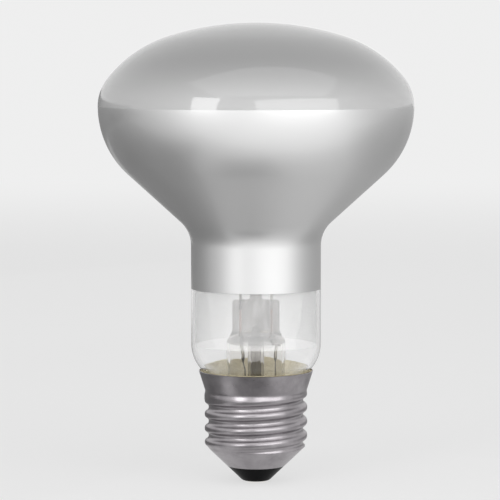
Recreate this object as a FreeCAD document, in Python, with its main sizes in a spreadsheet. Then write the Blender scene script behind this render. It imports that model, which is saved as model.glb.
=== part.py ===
"""Reflector bulb with an 80 mm head and a screw cap of 27 mm. Lengths are in millimetres.

The frame stands on the centre contact: +Z runs along the axis from the contact to the dome, and +Y is the
back. A blown glass bulb is mirrored inside on its lower half. Its neck is closed by a flared glass stem that
carries the lead wires, the exhaust tube and the filament, and it is cemented into a thin metal shell with a
rolled thread.
"""
import FreeCAD, Part
import math
import os
import re
import Sketcher

# Driving sizes

SIZES = {
    # blown glass bulb
    "bulb_radius": 40.0,
    "crown_share": 1.85,
    "brow_share": 0.8,
    "corner_share": 0.2875,
    "rise_share": 0.5275,
    "belly_radius": 23.3,
    "cone_angle": 47.7,
    "throat_bend": 8.0,
    "neck_radius": 16.5,
    "neck_length": 24.979,
    "glass_wall": 0.9,
    "shoulder_bend": 9.9,
    "taper_angle": 43.0,
    "neck_clearance": 0.9,
    "seal_bend": 4.0,
    "seal_length": 9.9194,
    # mirror film on the inside of the bulb
    "film_gap": 0.02,
    "mirror_thickness": 0.12,
    "band_thickness": 0.04,
    "mirror_edge_rise": 12.8,
    "band_depth": 13.1,
    # flared stem and its press
    "stem_radius": 7.5,
    "stem_wall": 0.8,
    "flare_bend": 3.5,
    "stem_length": 21.4,
    "pinch_length": 3.6,
    "press_length": 7.5,
    "press_width": 12.0,
    "press_depth": 3.6,
    "ceiling_radius": 2.8,
    "ceiling_rise": 1.8,
    "lead_spread": 3.95,
    # exhaust tube
    "exhaust_radius": 2.1,
    "exhaust_bore": 1.2,
    "exhaust_tip_drop": 1.6,
    "vent_rise": 0.6,
    "vent_radius": 1.0,
    # glass rod and its button
    "rod_radius": 1.5,
    "rod_flare": 0.8,
    "button_radius": 2.6,
    "button_depth": 3.0,
    "button_edge": 1.2,
    "button_flat_radius": 1.75,
    "rod_length": 22.5,
    # filament, its leads and hooks
    "filament_rise": 8.0,
    "filament_ring_radius": 11.0,
    "coil_radius": 0.45,
    "filament_sweep": 200.0,
    "wrap_gap": 0.05,
    "inner_lead_radius": 0.35,
    "lead_anchor_depth": 2.5,
    "lead_rise": 4.0,
    "lead_bend": 4.0,
    "lead_straight": 6.0,
    "lead_tail": 0.6,
    "hook_wire_radius": 0.12,
    "hook_foot_radius": 1.5,
    "hook_rise": 2.5,
    "hook_bend": 1.2,
    "hook_reach": 3.0,
    "hook_spacing": 45.0,
    "middle_hook_azimuth": -90.0,
    # seal wires and the leads below the press
    "wire_gap": 0.02,
    "seal_wire_radius": 0.25,
    "outer_lead_radius": 0.4,
    "outer_lead_depth": 2.5,
    "outer_lead_bend": 0.7,
    "left_lead_knee_rise": 0.8,
    "right_lead_knee_rise": 0.6,
    "tail_clearance": 0.4,
    "right_lead_elbow_drop": 0.2,
    "lead_end_straight": 0.9,
    "weld_drop": 4.0,
    "weld_radius": 0.52,
    "weld_length": 0.9,
    "left_weld_offset": 3.3,
    "right_weld_offset": 4.95,
    "tail_length": 1.0,
    "tail_radius": 0.28,
    "tail_drop": 0.6,
    "contact_wire_radius": 0.18,
    "contact_wire_bend": 1.6,
    "contact_wire_offset": 2.75,
    "contact_wire_knee_drop": 2.1,
    "contact_wire_turn_drop": 2.4,
    "contact_wire_axis_rise": 1.0,
    "side_wire_radius": 0.125,
    "side_wire_bend": 0.25,
    "side_wire_azimuth": 60.0,
    "side_wire_knee_drop": 9.1,
    "side_wire_turn_drop": 1.6,
    "side_wire_turn_radius": 6.0,
    "side_wire_turn_share": 0.6,
    "side_wire_rise_drop": 0.2,
    "side_wire_fold_reach": 0.3,
    # screw shell
    "cap_wall": 0.25,
    "thread_pitch": 3.629,
    "thread_crest_radius": 13.15,
    "thread_depth": 1.1,
    "thread_turns": 4.0,
    "thread_start_rise": 2.29,
    "thread_end_rise": 1.444,
    "thread_runout_turns": 0.5,
    "ridge_start_turns": 1.5,
    "thread_flat": 0.6,
    "groove_clear": 0.25,
    "lip_radius": 7.45,
    "lip_height": 4.05,
    "heel_angle": 46.0,
    "heel_bend": 1.6,
    "skirt_root_drop": 0.25,
    "skirt_flare": 1.65,
    "skirt_root_rise": 0.9,
    "rim_clearance": 0.9411,
    "skirt_length": 5.2,
    # insulator and centre contact
    "insulator_base_height": 0.15,
    "insulator_base_bend": 1.5,
    "insulator_top_rise": 3.55,
    "insulator_dish": 1.2,
    "insulator_hole": 0.7,
    "eyelet_radius": 2.4,
    "eyelet_thickness": 0.35,
    "eyelet_hole": 0.55,
    "contact_radius": 1.5,
    "contact_flat_radius": 1.2,
    "contact_edge": 0.35,
    "contact_wire_end_height": 0.3,
    # cement and side solder
    "cement_gap": 0.02,
    "cement_depth": 6.9,
    "cement_top_drop": 0.15,
    "solder_radius": 1.0,
    "solder_sink": 0.25,
    "solder_drop": 1.3,
}

# Places that follow from the driving sizes, from the shell's foot up to the dome

PLACES = {
    "thread_root_radius": "thread_crest_radius - thread_depth",
    "thread_bore": "thread_root_radius - cap_wall",
    "thread_start_height": "lip_height + thread_start_rise",
    "thread_end_height": "thread_start_height + thread_pitch * thread_turns + thread_end_rise",
    "skirt_root_radius": "thread_crest_radius - skirt_root_drop",
    "skirt_root_height": "thread_end_height + skirt_root_rise",
    "rim_height": "skirt_root_height + skirt_length",
    "rim_radius": "skirt_root_radius + skirt_flare",
    "cement_foot_height": "rim_height - cement_depth",
    "solder_height": "rim_height - solder_drop",
    "insulator_top_height": "lip_height + insulator_top_rise",
    "taper_top_radius": "neck_radius - shoulder_bend * (1 - cos(taper_angle))",
    "taper_top_height": "rim_height + (taper_top_radius - rim_radius + rim_clearance) / tan(taper_angle)",
    "shoulder_height": "taper_top_height + shoulder_bend * sin(taper_angle)",
    "seal_radius": "thread_bore - neck_clearance",
    "taper_foot_radius": "seal_radius + seal_bend * (1 - cos(taper_angle))",
    "taper_foot_height": "taper_top_height - (taper_top_radius - taper_foot_radius) / tan(taper_angle)",
    "seal_height": "taper_foot_height - seal_bend * sin(taper_angle)",
    "neck_end_height": "seal_height - seal_length",
    "exhaust_tip_height": "neck_end_height - exhaust_tip_drop",
    "stem_bore": "stem_radius - stem_wall",
    "stem_top_height": "neck_end_height + stem_length",
    "press_foot_height": "stem_top_height + pinch_length",
    "press_top_height": "press_foot_height + press_length",
    "vent_height": "press_foot_height + vent_rise",
    "seal_foot_height": "stem_top_height + outer_lead_depth",
    "lead_foot_height": "press_top_height - lead_anchor_depth",
    "weld_top_height": "stem_top_height - weld_drop",
    "weld_foot_height": "weld_top_height - weld_length",
    "lead_end_height": "weld_top_height + lead_end_straight",
    "contact_wire_knee_height": "weld_foot_height - contact_wire_knee_drop",
    "right_lead_elbow": "stem_bore - tail_length - tail_clearance",
    "side_wire_turn_height": "neck_end_height - side_wire_turn_drop",
    "side_wire_fold_radius": "rim_radius + side_wire_fold_reach",
    "button_top_height": "press_top_height + rod_length",
    "filament_height": "button_top_height + filament_rise",
    "throat_height": "shoulder_height + neck_length",
    "throat_top_height": "throat_height + throat_bend * sin(cone_angle)",
    "throat_top_radius": "neck_radius + throat_bend * (1 - cos(cone_angle))",
    "belly_foot_radius": "bulb_radius - belly_radius * (1 - cos(cone_angle))",
    "belly_foot_height": "throat_top_height + (belly_foot_radius - throat_top_radius) / tan(cone_angle)",
    "seam_height": "belly_foot_height + belly_radius * sin(cone_angle)",
    "mirror_edge_height": "shoulder_height + mirror_edge_rise",
    "band_edge_height": "mirror_edge_height - band_depth",
}

doc = FreeCAD.newDocument("reflector_bulb")
sheet = doc.addObject("Spreadsheet::Sheet", "Sizes")
cells = dict(SIZES)
cells.update((word, "=" + formula) for word, formula in PLACES.items())
for row, (word, value) in enumerate(cells.items(), start=1):
    sheet.set("A%d" % row, word)
    sheet.set("B%d" % row, str(value))
    sheet.setAlias("B%d" % row, word)
doc.recompute()

# Working words


def bound(text):
    """An expression in the words of the sheet, with the sheet's name before each word."""
    return re.sub(r"[a-z][a-z_]*", lambda word: "Sizes." * (word.group() in cells) + word.group(), text)


def number(text):
    """The value of such an expression."""
    return float(sheet.evalExpression(bound(text)))


def point(x_text, y_text):
    return FreeCAD.Vector(number(x_text), number(y_text), 0)


def body(label, turn=0.0):
    """A sub-part of its own, turned about the axis by some degrees."""
    made = doc.addObject("PartDesign::Body", label)
    made.Label = label
    made.Placement = FreeCAD.Placement(FreeCAD.Vector(), FreeCAD.Rotation(FreeCAD.Vector(0, 0, 1), turn))
    return made


def sketch_on(owner, name, plane="XZ_Plane", height=None):
    """A sketch on one of the body's own planes, raised to a height where one is given."""
    made = owner.newObject("Sketcher::SketchObject", owner.Label + "_" + name)
    made.AttachmentSupport = [(face, "") for face in owner.Origin.OriginFeatures if face.Role == plane]
    made.MapMode = "FlatFace"
    if height:
        made.setExpression("AttachmentOffset.Base.z", bound(height))
    return made


def pin(sketch, shape, end, x_text, y_text):
    """Ties one point of a sketch to the expressions for its place."""
    for kind, text, axis in (("DistanceX", x_text, -2), ("DistanceY", y_text, -1)):
        if text == "0":
            sketch.addConstraint(Sketcher.Constraint("PointOnObject", shape, end, axis))
        else:
            index = sketch.addConstraint(Sketcher.Constraint(kind, -1, 1, shape, end, number(text)))
            sketch.setExpression("Constraints[%d]" % index, bound(text))


def round_edge(sketch, start, end, radius_text, turn):
    """An arc under half a turn, anticlockwise for turn 1 and clockwise for turn -1."""
    radius = number(radius_text)
    chord = end - start
    left = FreeCAD.Vector(-chord.y, chord.x, 0) / chord.Length
    centre = (start + end) / 2 + left * turn * math.sqrt(radius**2 - chord.Length**2 / 4)
    circle = Part.Circle(centre, FreeCAD.Vector(0, 0, 1), radius)
    first, last = (start, end) if turn > 0 else (end, start)
    angles = [math.atan2(spot.y - centre.y, spot.x - centre.x) for spot in (first, last)]
    if angles[1] < angles[0]:
        angles[1] += 2 * math.pi
    shape = sketch.addGeometry(Part.ArcOfCircle(circle, *angles))
    index = sketch.addConstraint(Sketcher.Constraint("Radius", shape, radius))
    sketch.setExpression("Constraints[%d]" % index, bound(radius_text))
    return shape


def outline(sketch, corners, closed=True):
    """Draws corners, each given as x, y and, where a round edge leads to it, ("round", radius, turn)."""
    spots = [point(corner[0], corner[1]) for corner in corners]
    count = len(corners)
    edges = []
    for index in range(0 if closed else 1, count):
        start, end = spots[index - 1], spots[index]
        head, tail = 1, 2
        if len(corners[index]) > 2:
            _, radius_text, turn = corners[index][2]
            shape = round_edge(sketch, start, end, radius_text, turn)
            if turn < 0:
                head, tail = 2, 1
        else:
            shape = sketch.addGeometry(Part.LineSegment(start, end))
        edges.append((shape, head, tail))
        pin(sketch, shape, tail, corners[index][0], corners[index][1])
    for before, after in zip(edges, edges[1:]):
        sketch.addConstraint(Sketcher.Constraint("Coincident", before[0], before[2], after[0], after[1]))
    if closed:
        before, after = edges[-1], edges[0]
        sketch.addConstraint(Sketcher.Constraint("Coincident", before[0], before[2], after[0], after[1]))
    else:
        pin(sketch, edges[0][0], edges[0][1], corners[0][0], corners[0][1])
    return sketch


def revolved(owner, corners, name="outline", kind="PartDesign::Revolution", angle="360"):
    """A feature turned about the axis from an outline in radius and height."""
    drawn = outline(sketch_on(owner, name), corners)
    feature = owner.newObject(kind, owner.Label + "_" + name + "_turned")
    feature.Profile = drawn
    feature.ReferenceAxis = (drawn, ["V_Axis"])
    feature.setExpression("Angle", bound(angle))
    return feature


def circle_on(owner, name, x_text, height_text, radius_text):
    """A round section that lies flat at a height, off the axis by some distance."""
    drawn = sketch_on(owner, name, "XY_Plane", height_text)
    shape = drawn.addGeometry(Part.Circle(point(x_text, "0"), FreeCAD.Vector(0, 0, 1), number(radius_text)))
    pin(drawn, shape, 3, x_text, "0")
    index = drawn.addConstraint(Sketcher.Constraint("Radius", shape, number(radius_text)))
    drawn.setExpression("Constraints[%d]" % index, bound(radius_text))
    return drawn


def bored(owner, name, x_text, low_text, high_text, radius_text):
    """A round hole parallel to the axis, from one height up to another."""
    hole = owner.newObject("PartDesign::Pocket", owner.Label + "_" + name)
    hole.Profile = circle_on(owner, name + "_section", x_text, low_text, radius_text)
    hole.Type = "Length"
    hole.Reversed = True
    hole.setExpression("Length", bound("%s - (%s)" % (high_text, low_text)))
    return hole


def tangent_spots(spots, bends):
    """Where each bend of a run of straight lines begins and ends."""
    found = []
    for before, corner, after, bend in zip(spots, spots[1:], spots[2:], bends):
        back, ahead = (before - corner).normalize(), (after - corner).normalize()
        reach = bend / math.tan(back.getAngle(ahead) / 2)
        found.append((corner + back * reach, corner + ahead * reach))
    return found


def bent_line(sketch, corners, bends):
    """Straight runs through the corners, joined by tangent arcs of the given radii. Returns the last run."""
    spots = [point(*corner) for corner in corners]
    turns = tangent_spots(spots, [number(bend) for bend in bends])
    starts = [spots[0]] + [turn[1] for turn in turns]
    ends = [turn[0] for turn in turns] + [spots[-1]]
    lines = [sketch.addGeometry(Part.LineSegment(start, end)) for start, end in zip(starts, ends)]
    pin(sketch, lines[0], 1, *corners[0])
    pin(sketch, lines[-1], 2, *corners[-1])
    for index, (bend, corner) in enumerate(zip(bends, corners[1:])):
        knee = sketch.addGeometry(Part.Point(spots[index + 1]), True)
        pin(sketch, knee, 1, *corner)
        for line in lines[index:index + 2]:
            sketch.addConstraint(Sketcher.Constraint("PointOnObject", knee, 1, line))
        before, after = spots[index + 1] - spots[index], spots[index + 2] - spots[index + 1]
        turn = 1 if before.cross(after).z > 0 else -1
        start, end = turns[index]
        arc = round_edge(sketch, start, end, bend, turn)
        head, tail = (1, 2) if turn > 0 else (2, 1)
        sketch.addConstraint(Sketcher.Constraint("Tangent", lines[index], 2, arc, head))
        sketch.addConstraint(Sketcher.Constraint("Tangent", arc, tail, lines[index + 1], 1))
    return lines[-1]


def quarter_turns(sketch, last, centre, radius, count, turn, first_angle):
    """Carries a line on round a centre in quarter turns, from a first angle in quarters."""
    compass = [(1, 0), (0, 1), (-1, 0), (0, -1)]

    def place(quarter):
        x_way, y_way = compass[quarter % 4]
        return ["%s + (%d) * (%s)" % (middle, way, radius) for middle, way in zip(centre, (x_way, y_way))]

    before = (last, 2)
    for step in range(count):
        start, end = place(first_angle + turn * step), place(first_angle + turn * (step + 1))
        arc = round_edge(sketch, point(*start), point(*end), radius, turn)
        head, tail = (1, 2) if turn > 0 else (2, 1)
        pin(sketch, arc, tail, *end)
        sketch.addConstraint(Sketcher.Constraint("Coincident", before[0], before[1], arc, head))
        before = (arc, tail)
    return before


def drawn_wire(owner, path, start, radius_text):
    """A round wire along a path that starts straight up or down."""
    pipe = owner.newObject("PartDesign::AdditivePipe", owner.Label + "_wire")
    pipe.Profile = circle_on(owner, "section", start[0], start[1], radius_text)
    pipe.Spine = path
    return pipe


# Lines that several pieces share

CROWN, BROW, CORNER, RISE = (
    "(bulb_radius * %s_share)" % part for part in ("crown", "brow", "corner", "rise"))
CROWN_CENTRE = "(seam_height + %s - %s)" % (RISE, CROWN)
CORNER_SPAN = "sqrt((1 - corner_share)^2 + (crown_share - rise_share)^2)"
CROWN_ANGLE = (
    "(atan2(1 - corner_share; crown_share - rise_share) - acos(((crown_share - brow_share)^2"
    " + {0}^2 - (brow_share - corner_share)^2) / (2 * (crown_share - brow_share) * {0})))"
).format(CORNER_SPAN)
BROW_X = "((%s - %s) * sin(%s))" % (CROWN, BROW, CROWN_ANGLE)
BROW_Y = "(%s + (%s - %s) * cos(%s))" % (CROWN_CENTRE, CROWN, BROW, CROWN_ANGLE)
FILM_DEPTH = "(glass_wall + film_gap)"


def bulb_line(depth):
    """The bulb's outline from its crown down to its neck's end, at a depth under the outer face."""
    onward = "(%s - %s) / (%s - %s)" % (CORNER, depth, BROW, CORNER)
    return {
        "top": ("0", "seam_height + %s - %s" % (RISE, depth)),
        "crown": (
            "(%s - %s) * sin(%s)" % (CROWN, depth, CROWN_ANGLE),
            "%s + (%s - %s) * cos(%s)" % (CROWN_CENTRE, CROWN, depth, CROWN_ANGLE),
        ),
        "brow": (
            "bulb_radius - %s + (bulb_radius - %s - %s) * %s" % (CORNER, CORNER, BROW_X, onward),
            "seam_height + (seam_height - %s) * %s" % (BROW_Y, onward),
        ),
        "seam": ("bulb_radius - %s" % depth, "seam_height"),
        "belly": (
            "bulb_radius - belly_radius + (belly_radius - %s) * cos(cone_angle)" % depth,
            "seam_height - (belly_radius - %s) * sin(cone_angle)" % depth,
        ),
        "throat_top": (
            "neck_radius + throat_bend - (throat_bend + %s) * cos(cone_angle)" % depth,
            "throat_height + (throat_bend + %s) * sin(cone_angle)" % depth,
        ),
        "throat": ("neck_radius - %s" % depth, "throat_height"),
        "shoulder": ("neck_radius - %s" % depth, "shoulder_height"),
        "taper_top": (
            "neck_radius - shoulder_bend + (shoulder_bend - %s) * cos(taper_angle)" % depth,
            "shoulder_height - (shoulder_bend - %s) * sin(taper_angle)" % depth,
        ),
        "taper_foot": (
            "seal_radius + seal_bend - (seal_bend + %s) * cos(taper_angle)" % depth,
            "seal_height + (seal_bend + %s) * sin(taper_angle)" % depth,
        ),
        "seal": ("seal_radius - %s" % depth, "seal_height"),
        "end": ("seal_radius - %s" % depth, "neck_end_height"),
    }


# Glass bulb

def glass_envelope():
    outer, inner = bulb_line("0"), bulb_line("glass_wall")
    return revolved(body("glass_envelope"), [
        outer["top"],
        (*outer["crown"], ("round", CROWN, -1)),
        (*outer["brow"], ("round", BROW, -1)),
        (*outer["seam"], ("round", CORNER, -1)),
        (*outer["belly"], ("round", "belly_radius", -1)),
        outer["throat_top"],
        (*outer["throat"], ("round", "throat_bend", 1)),
        outer["shoulder"],
        (*outer["taper_top"], ("round", "shoulder_bend", -1)),
        outer["taper_foot"],
        (*outer["seal"], ("round", "seal_bend", 1)),
        outer["end"],
        inner["end"],
        inner["seal"],
        (*inner["taper_foot"], ("round", "seal_bend + glass_wall", -1)),
        inner["taper_top"],
        (*inner["shoulder"], ("round", "shoulder_bend - glass_wall", 1)),
        inner["throat"],
        (*inner["throat_top"], ("round", "throat_bend + glass_wall", -1)),
        inner["belly"],
        (*inner["seam"], ("round", "belly_radius - glass_wall", 1)),
        (*inner["brow"], ("round", CORNER + " - glass_wall", 1)),
        (*inner["crown"], ("round", BROW + " - glass_wall", 1)),
        (*inner["top"], ("round", CROWN + " - glass_wall", 1)),
    ])


# Mirror film, opaque above its edge and a see-through band below it

def mirror_coat():
    back_depth = "(glass_wall + film_gap + mirror_thickness)"
    back, face = bulb_line(FILM_DEPTH), bulb_line(back_depth)
    band_face = "neck_radius - glass_wall - film_gap - band_thickness"
    return revolved(body("mirror_coat"), [
        back["seam"],
        (*back["belly"], ("round", "belly_radius - %s" % FILM_DEPTH, -1)),
        back["throat_top"],
        (*back["throat"], ("round", "throat_bend + %s" % FILM_DEPTH, 1)),
        (back["throat"][0], "band_edge_height"),
        (band_face, "band_edge_height"),
        (band_face, "mirror_edge_height"),
        (face["throat"][0], "mirror_edge_height"),
        face["throat"],
        (*face["throat_top"], ("round", "throat_bend + %s" % back_depth, -1)),
        face["belly"],
        (*face["seam"], ("round", "belly_radius - %s" % back_depth, 1)),
    ])


# Stem glass: a flared tube whose top is pinched flat round the wires

def press_corners():
    """A slot with round ends, in four quarter arcs and two straight sides."""
    half_depth, half_length = "(press_depth / 2)", "((press_width - press_depth) / 2)"
    arc = ("round", half_depth, 1)
    return [
        (half_length, half_depth, arc),
        ("0 - " + half_length, half_depth),
        ("0 - press_width / 2", "0", arc),
        ("0 - " + half_length, "0 - " + half_depth, arc),
        (half_length, "0 - " + half_depth),
        ("press_width / 2", "0", arc),
    ]


def tube_corners():
    """The round tube's section, in six arcs that answer to the sides of the slot."""
    lean = "(stem_radius * sqrt(0.5))"
    arc = ("round", "stem_radius", 1)
    return [
        (lean, lean, arc),
        ("0 - " + lean, lean, arc),
        ("0 - stem_radius", "0", arc),
        ("0 - " + lean, "0 - " + lean, arc),
        (lean, "0 - " + lean, arc),
        ("stem_radius", "0", arc),
    ]


def flare_tube():
    owner = body("flare_tube")
    rim_radius = "(seal_radius - glass_wall)"
    rim_reach = "(stem_radius + flare_bend - %s)" % rim_radius
    flare_height = "(neck_end_height + sqrt((flare_bend + stem_wall)^2 - %s^2))" % rim_reach
    revolved(owner, [
        ("stem_radius", "stem_top_height"),
        ("stem_bore", "stem_top_height"),
        ("stem_bore", flare_height),
        (rim_radius, "neck_end_height", ("round", "flare_bend + stem_wall", 1)),
        (rim_radius, "%s - sqrt(flare_bend^2 - %s^2)" % (flare_height, rim_reach)),
        ("stem_radius", flare_height, ("round", "flare_bend", -1)),
    ], name="tube")
    foot = outline(sketch_on(owner, "round_section", "XY_Plane", "stem_top_height"), tube_corners())
    press = outline(sketch_on(owner, "press_section", "XY_Plane", "press_foot_height"), press_corners())
    loft = owner.newObject("PartDesign::AdditiveLoft", "flare_tube_pinch")
    loft.Profile = foot
    loft.Sections = [press]
    loft.Ruled = True
    pad = owner.newObject("PartDesign::Pad", "flare_tube_press")
    pad.Profile = press
    pad.setExpression("Length", bound("press_length"))
    revolved(owner, [
        ("0", "stem_top_height"),
        ("stem_bore", "stem_top_height"),
        ("ceiling_radius", "stem_top_height + ceiling_rise"),
        ("0", "stem_top_height + ceiling_rise"),
    ], name="ceiling", kind="PartDesign::Groove")
    bored(owner, "channel", "0", "stem_top_height + ceiling_rise", "vent_height", "exhaust_bore")
    vent = owner.newObject("PartDesign::Pocket", "flare_tube_vent")
    side = sketch_on(owner, "vent_section")
    circle = Part.Circle(point("0", "vent_height"), FreeCAD.Vector(0, 0, 1), number("vent_radius"))
    hole = side.addGeometry(circle)
    pin(side, hole, 3, "0", "vent_height")
    index = side.addConstraint(Sketcher.Constraint("Radius", hole, number("vent_radius")))
    side.setExpression("Constraints[%d]" % index, bound("vent_radius"))
    vent.Profile = side
    vent.Reversed = True
    vent.setExpression("Length", bound("press_depth"))
    for name, x_text in (("right", "lead_spread"), ("left", "0 - lead_spread")):
        bored(owner, name + "_outer_lead_hole", x_text, "stem_top_height", "seal_foot_height",
              "outer_lead_radius + wire_gap")
        bored(owner, name + "_seal_hole", x_text, "seal_foot_height", "lead_foot_height", "seal_wire_radius")
        bored(owner, name + "_inner_lead_hole", x_text, "lead_foot_height", "press_top_height",
              "inner_lead_radius")
    return owner.Tip


def exhaust_tube():
    ceiling = "stem_top_height + ceiling_rise"
    wall = "(exhaust_radius - exhaust_bore)"
    return revolved(body("exhaust_tube"), [
        ("exhaust_bore", ceiling),
        ("exhaust_bore", "exhaust_tip_height + exhaust_radius"),
        ("0", "exhaust_tip_height + %s" % wall, ("round", "exhaust_bore", -1)),
        ("0", "exhaust_tip_height"),
        ("exhaust_radius", "exhaust_tip_height + exhaust_radius", ("round", "exhaust_radius", 1)),
        ("exhaust_radius", ceiling),
    ])


def support_rod():
    button_foot = "button_top_height - button_depth"
    return revolved(body("support_rod"), [
        ("0", "press_top_height"),
        ("rod_radius + rod_flare", "press_top_height"),
        ("rod_radius", "press_top_height + rod_flare", ("round", "rod_flare", -1)),
        ("rod_radius", button_foot),
        ("button_radius", "%s + button_edge" % button_foot, ("round", "button_edge", 1)),
        ("button_radius", "button_top_height - button_edge"),
        ("button_flat_radius", "button_top_height", ("round", "button_edge", 1)),
        ("0", "button_top_height"),
    ])


# Filament, its two leads and its three hooks


def filament():
    owner = body("filament", turn=10.0)
    drawn = sketch_on(owner, "section")
    middle = point("filament_ring_radius", "filament_height")
    section = drawn.addGeometry(Part.Circle(middle, FreeCAD.Vector(0, 0, 1), number("coil_radius")))
    pin(drawn, section, 3, "filament_ring_radius", "filament_height")
    index = drawn.addConstraint(Sketcher.Constraint("Radius", section, number("coil_radius")))
    drawn.setExpression("Constraints[%d]" % index, bound("coil_radius"))
    ring = owner.newObject("PartDesign::Revolution", "filament_ring")
    ring.Profile = drawn
    ring.ReferenceAxis = (drawn, ["V_Axis"])
    ring.Reversed = True
    ring.setExpression("Angle", bound("filament_sweep"))
    return ring


def inner_lead(side, turn):
    owner = body("inner_lead_" + side, turn)
    wrap = "(coil_radius + wrap_gap + inner_lead_radius)"
    clasp = "filament_ring_radius + " + wrap
    start = ("lead_spread", "lead_foot_height")
    path = sketch_on(owner, "path")
    run = bent_line(path, [
        start,
        ("lead_spread", "press_top_height + lead_rise"),
        (clasp, "filament_height - lead_straight"),
        (clasp, "filament_height"),
    ], ["lead_bend", "lead_bend"])
    last, end = quarter_turns(path, run, ("filament_ring_radius", "filament_height"), wrap, 2, 1, 0)
    tail_start = ("filament_ring_radius - " + wrap, "filament_height")
    tail_end = ("filament_ring_radius - " + wrap, "filament_height - lead_tail")
    tail = path.addGeometry(Part.LineSegment(point(*tail_start), point(*tail_end)))
    path.addConstraint(Sketcher.Constraint("Coincident", last, end, tail, 1))
    pin(path, tail, 2, *tail_end)
    return drawn_wire(owner, path, start, "inner_lead_radius")


def filament_hook(name, turn):
    owner = body("filament_hook_" + name, turn)
    wrap = "(coil_radius + wrap_gap + hook_wire_radius)"
    low = "filament_height - %s" % wrap
    start = ("hook_foot_radius", "button_top_height")
    path = sketch_on(owner, "path")
    run = bent_line(path, [
        start,
        ("hook_foot_radius", "button_top_height + hook_rise"),
        ("filament_ring_radius - hook_reach", low),
        ("filament_ring_radius", low),
    ], ["hook_bend", "hook_bend"])
    quarter_turns(path, run, ("filament_ring_radius", "filament_height"), wrap, 3, 1, 3)
    return drawn_wire(owner, path, start, "hook_wire_radius")


# Wires in and below the press


def round_bar(owner, name, plane, offset_text, place, radius_text, length_text):
    """A straight round bar that starts on a plane and runs along its normal."""
    drawn = sketch_on(owner, name + "_section", plane, offset_text)
    section = drawn.addGeometry(Part.Circle(point(*place), FreeCAD.Vector(0, 0, 1), number(radius_text)))
    pin(drawn, section, 3, *place)
    index = drawn.addConstraint(Sketcher.Constraint("Radius", section, number(radius_text)))
    drawn.setExpression("Constraints[%d]" % index, bound(radius_text))
    bar = owner.newObject("PartDesign::Pad", owner.Label + "_" + name)
    bar.Profile = drawn
    bar.setExpression("Length", bound(length_text))
    return bar


def dumet_wire(side, turn):
    """The copper-clad wire that the press seals in."""
    return round_bar(body("dumet_wire_" + side, turn), "wire", "XY_Plane", "seal_foot_height",
                     ("lead_spread", "0"), "seal_wire_radius", "lead_foot_height - seal_foot_height")


def outer_lead(side, corners):
    """The thick lead from the press down to the weld."""
    owner = body("outer_lead_" + side)
    path = sketch_on(owner, "path")
    bent_line(path, corners, ["outer_lead_bend"] * (len(corners) - 2))
    return owner, drawn_wire(owner, path, corners[0], "outer_lead_radius")


def outer_lead_left():
    return outer_lead("left", [
        ("0 - lead_spread", "seal_foot_height"),
        ("0 - lead_spread", "stem_top_height + left_lead_knee_rise"),
        ("0 - left_weld_offset", "lead_end_height"),
        ("0 - left_weld_offset", "weld_top_height"),
    ])[1]


def outer_lead_right():
    owner, _ = outer_lead("right", [
        ("lead_spread", "seal_foot_height"),
        ("lead_spread", "stem_top_height + right_lead_knee_rise"),
        ("right_lead_elbow", "stem_top_height - right_lead_elbow_drop"),
        ("right_weld_offset", "lead_end_height"),
        ("right_weld_offset", "weld_top_height"),
    ])
    return round_bar(owner, "tail", "YZ_Plane", "right_lead_elbow", ("0", "stem_top_height - tail_drop"),
                     "tail_radius", "tail_length")


def contact_wire_centre():
    """The thin wire from the left weld down to the centre contact."""
    owner = body("contact_wire_centre")
    path = sketch_on(owner, "path")
    corners = [
        ("0 - left_weld_offset", "weld_top_height"),
        ("0 - left_weld_offset", "weld_foot_height"),
        ("0 - contact_wire_offset", "contact_wire_knee_height"),
        ("0 - contact_wire_offset", "neck_end_height - contact_wire_turn_drop"),
        ("0", "insulator_top_height + contact_wire_axis_rise"),
        ("0", "contact_wire_end_height"),
    ]
    bent_line(path, corners, ["contact_wire_bend"] * (len(corners) - 2))
    drawn_wire(owner, path, corners[0], "contact_wire_radius")
    weld = owner.newObject("PartDesign::AdditiveCone", "contact_wire_centre_weld")
    weld.setExpression("Radius1", bound("contact_wire_radius"))
    weld.setExpression("Radius2", bound("weld_radius"))
    weld.setExpression("Height", bound("weld_length"))
    weld.setExpression("Placement.Base.x", bound("0 - left_weld_offset"))
    weld.setExpression("Placement.Base.z", bound("weld_foot_height"))
    return weld


def round_point(radius_text, azimuth, height_text):
    angle = math.radians(azimuth)
    radius = number(radius_text)
    return FreeCAD.Vector(radius * math.cos(angle), radius * math.sin(angle), number(height_text))


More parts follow.
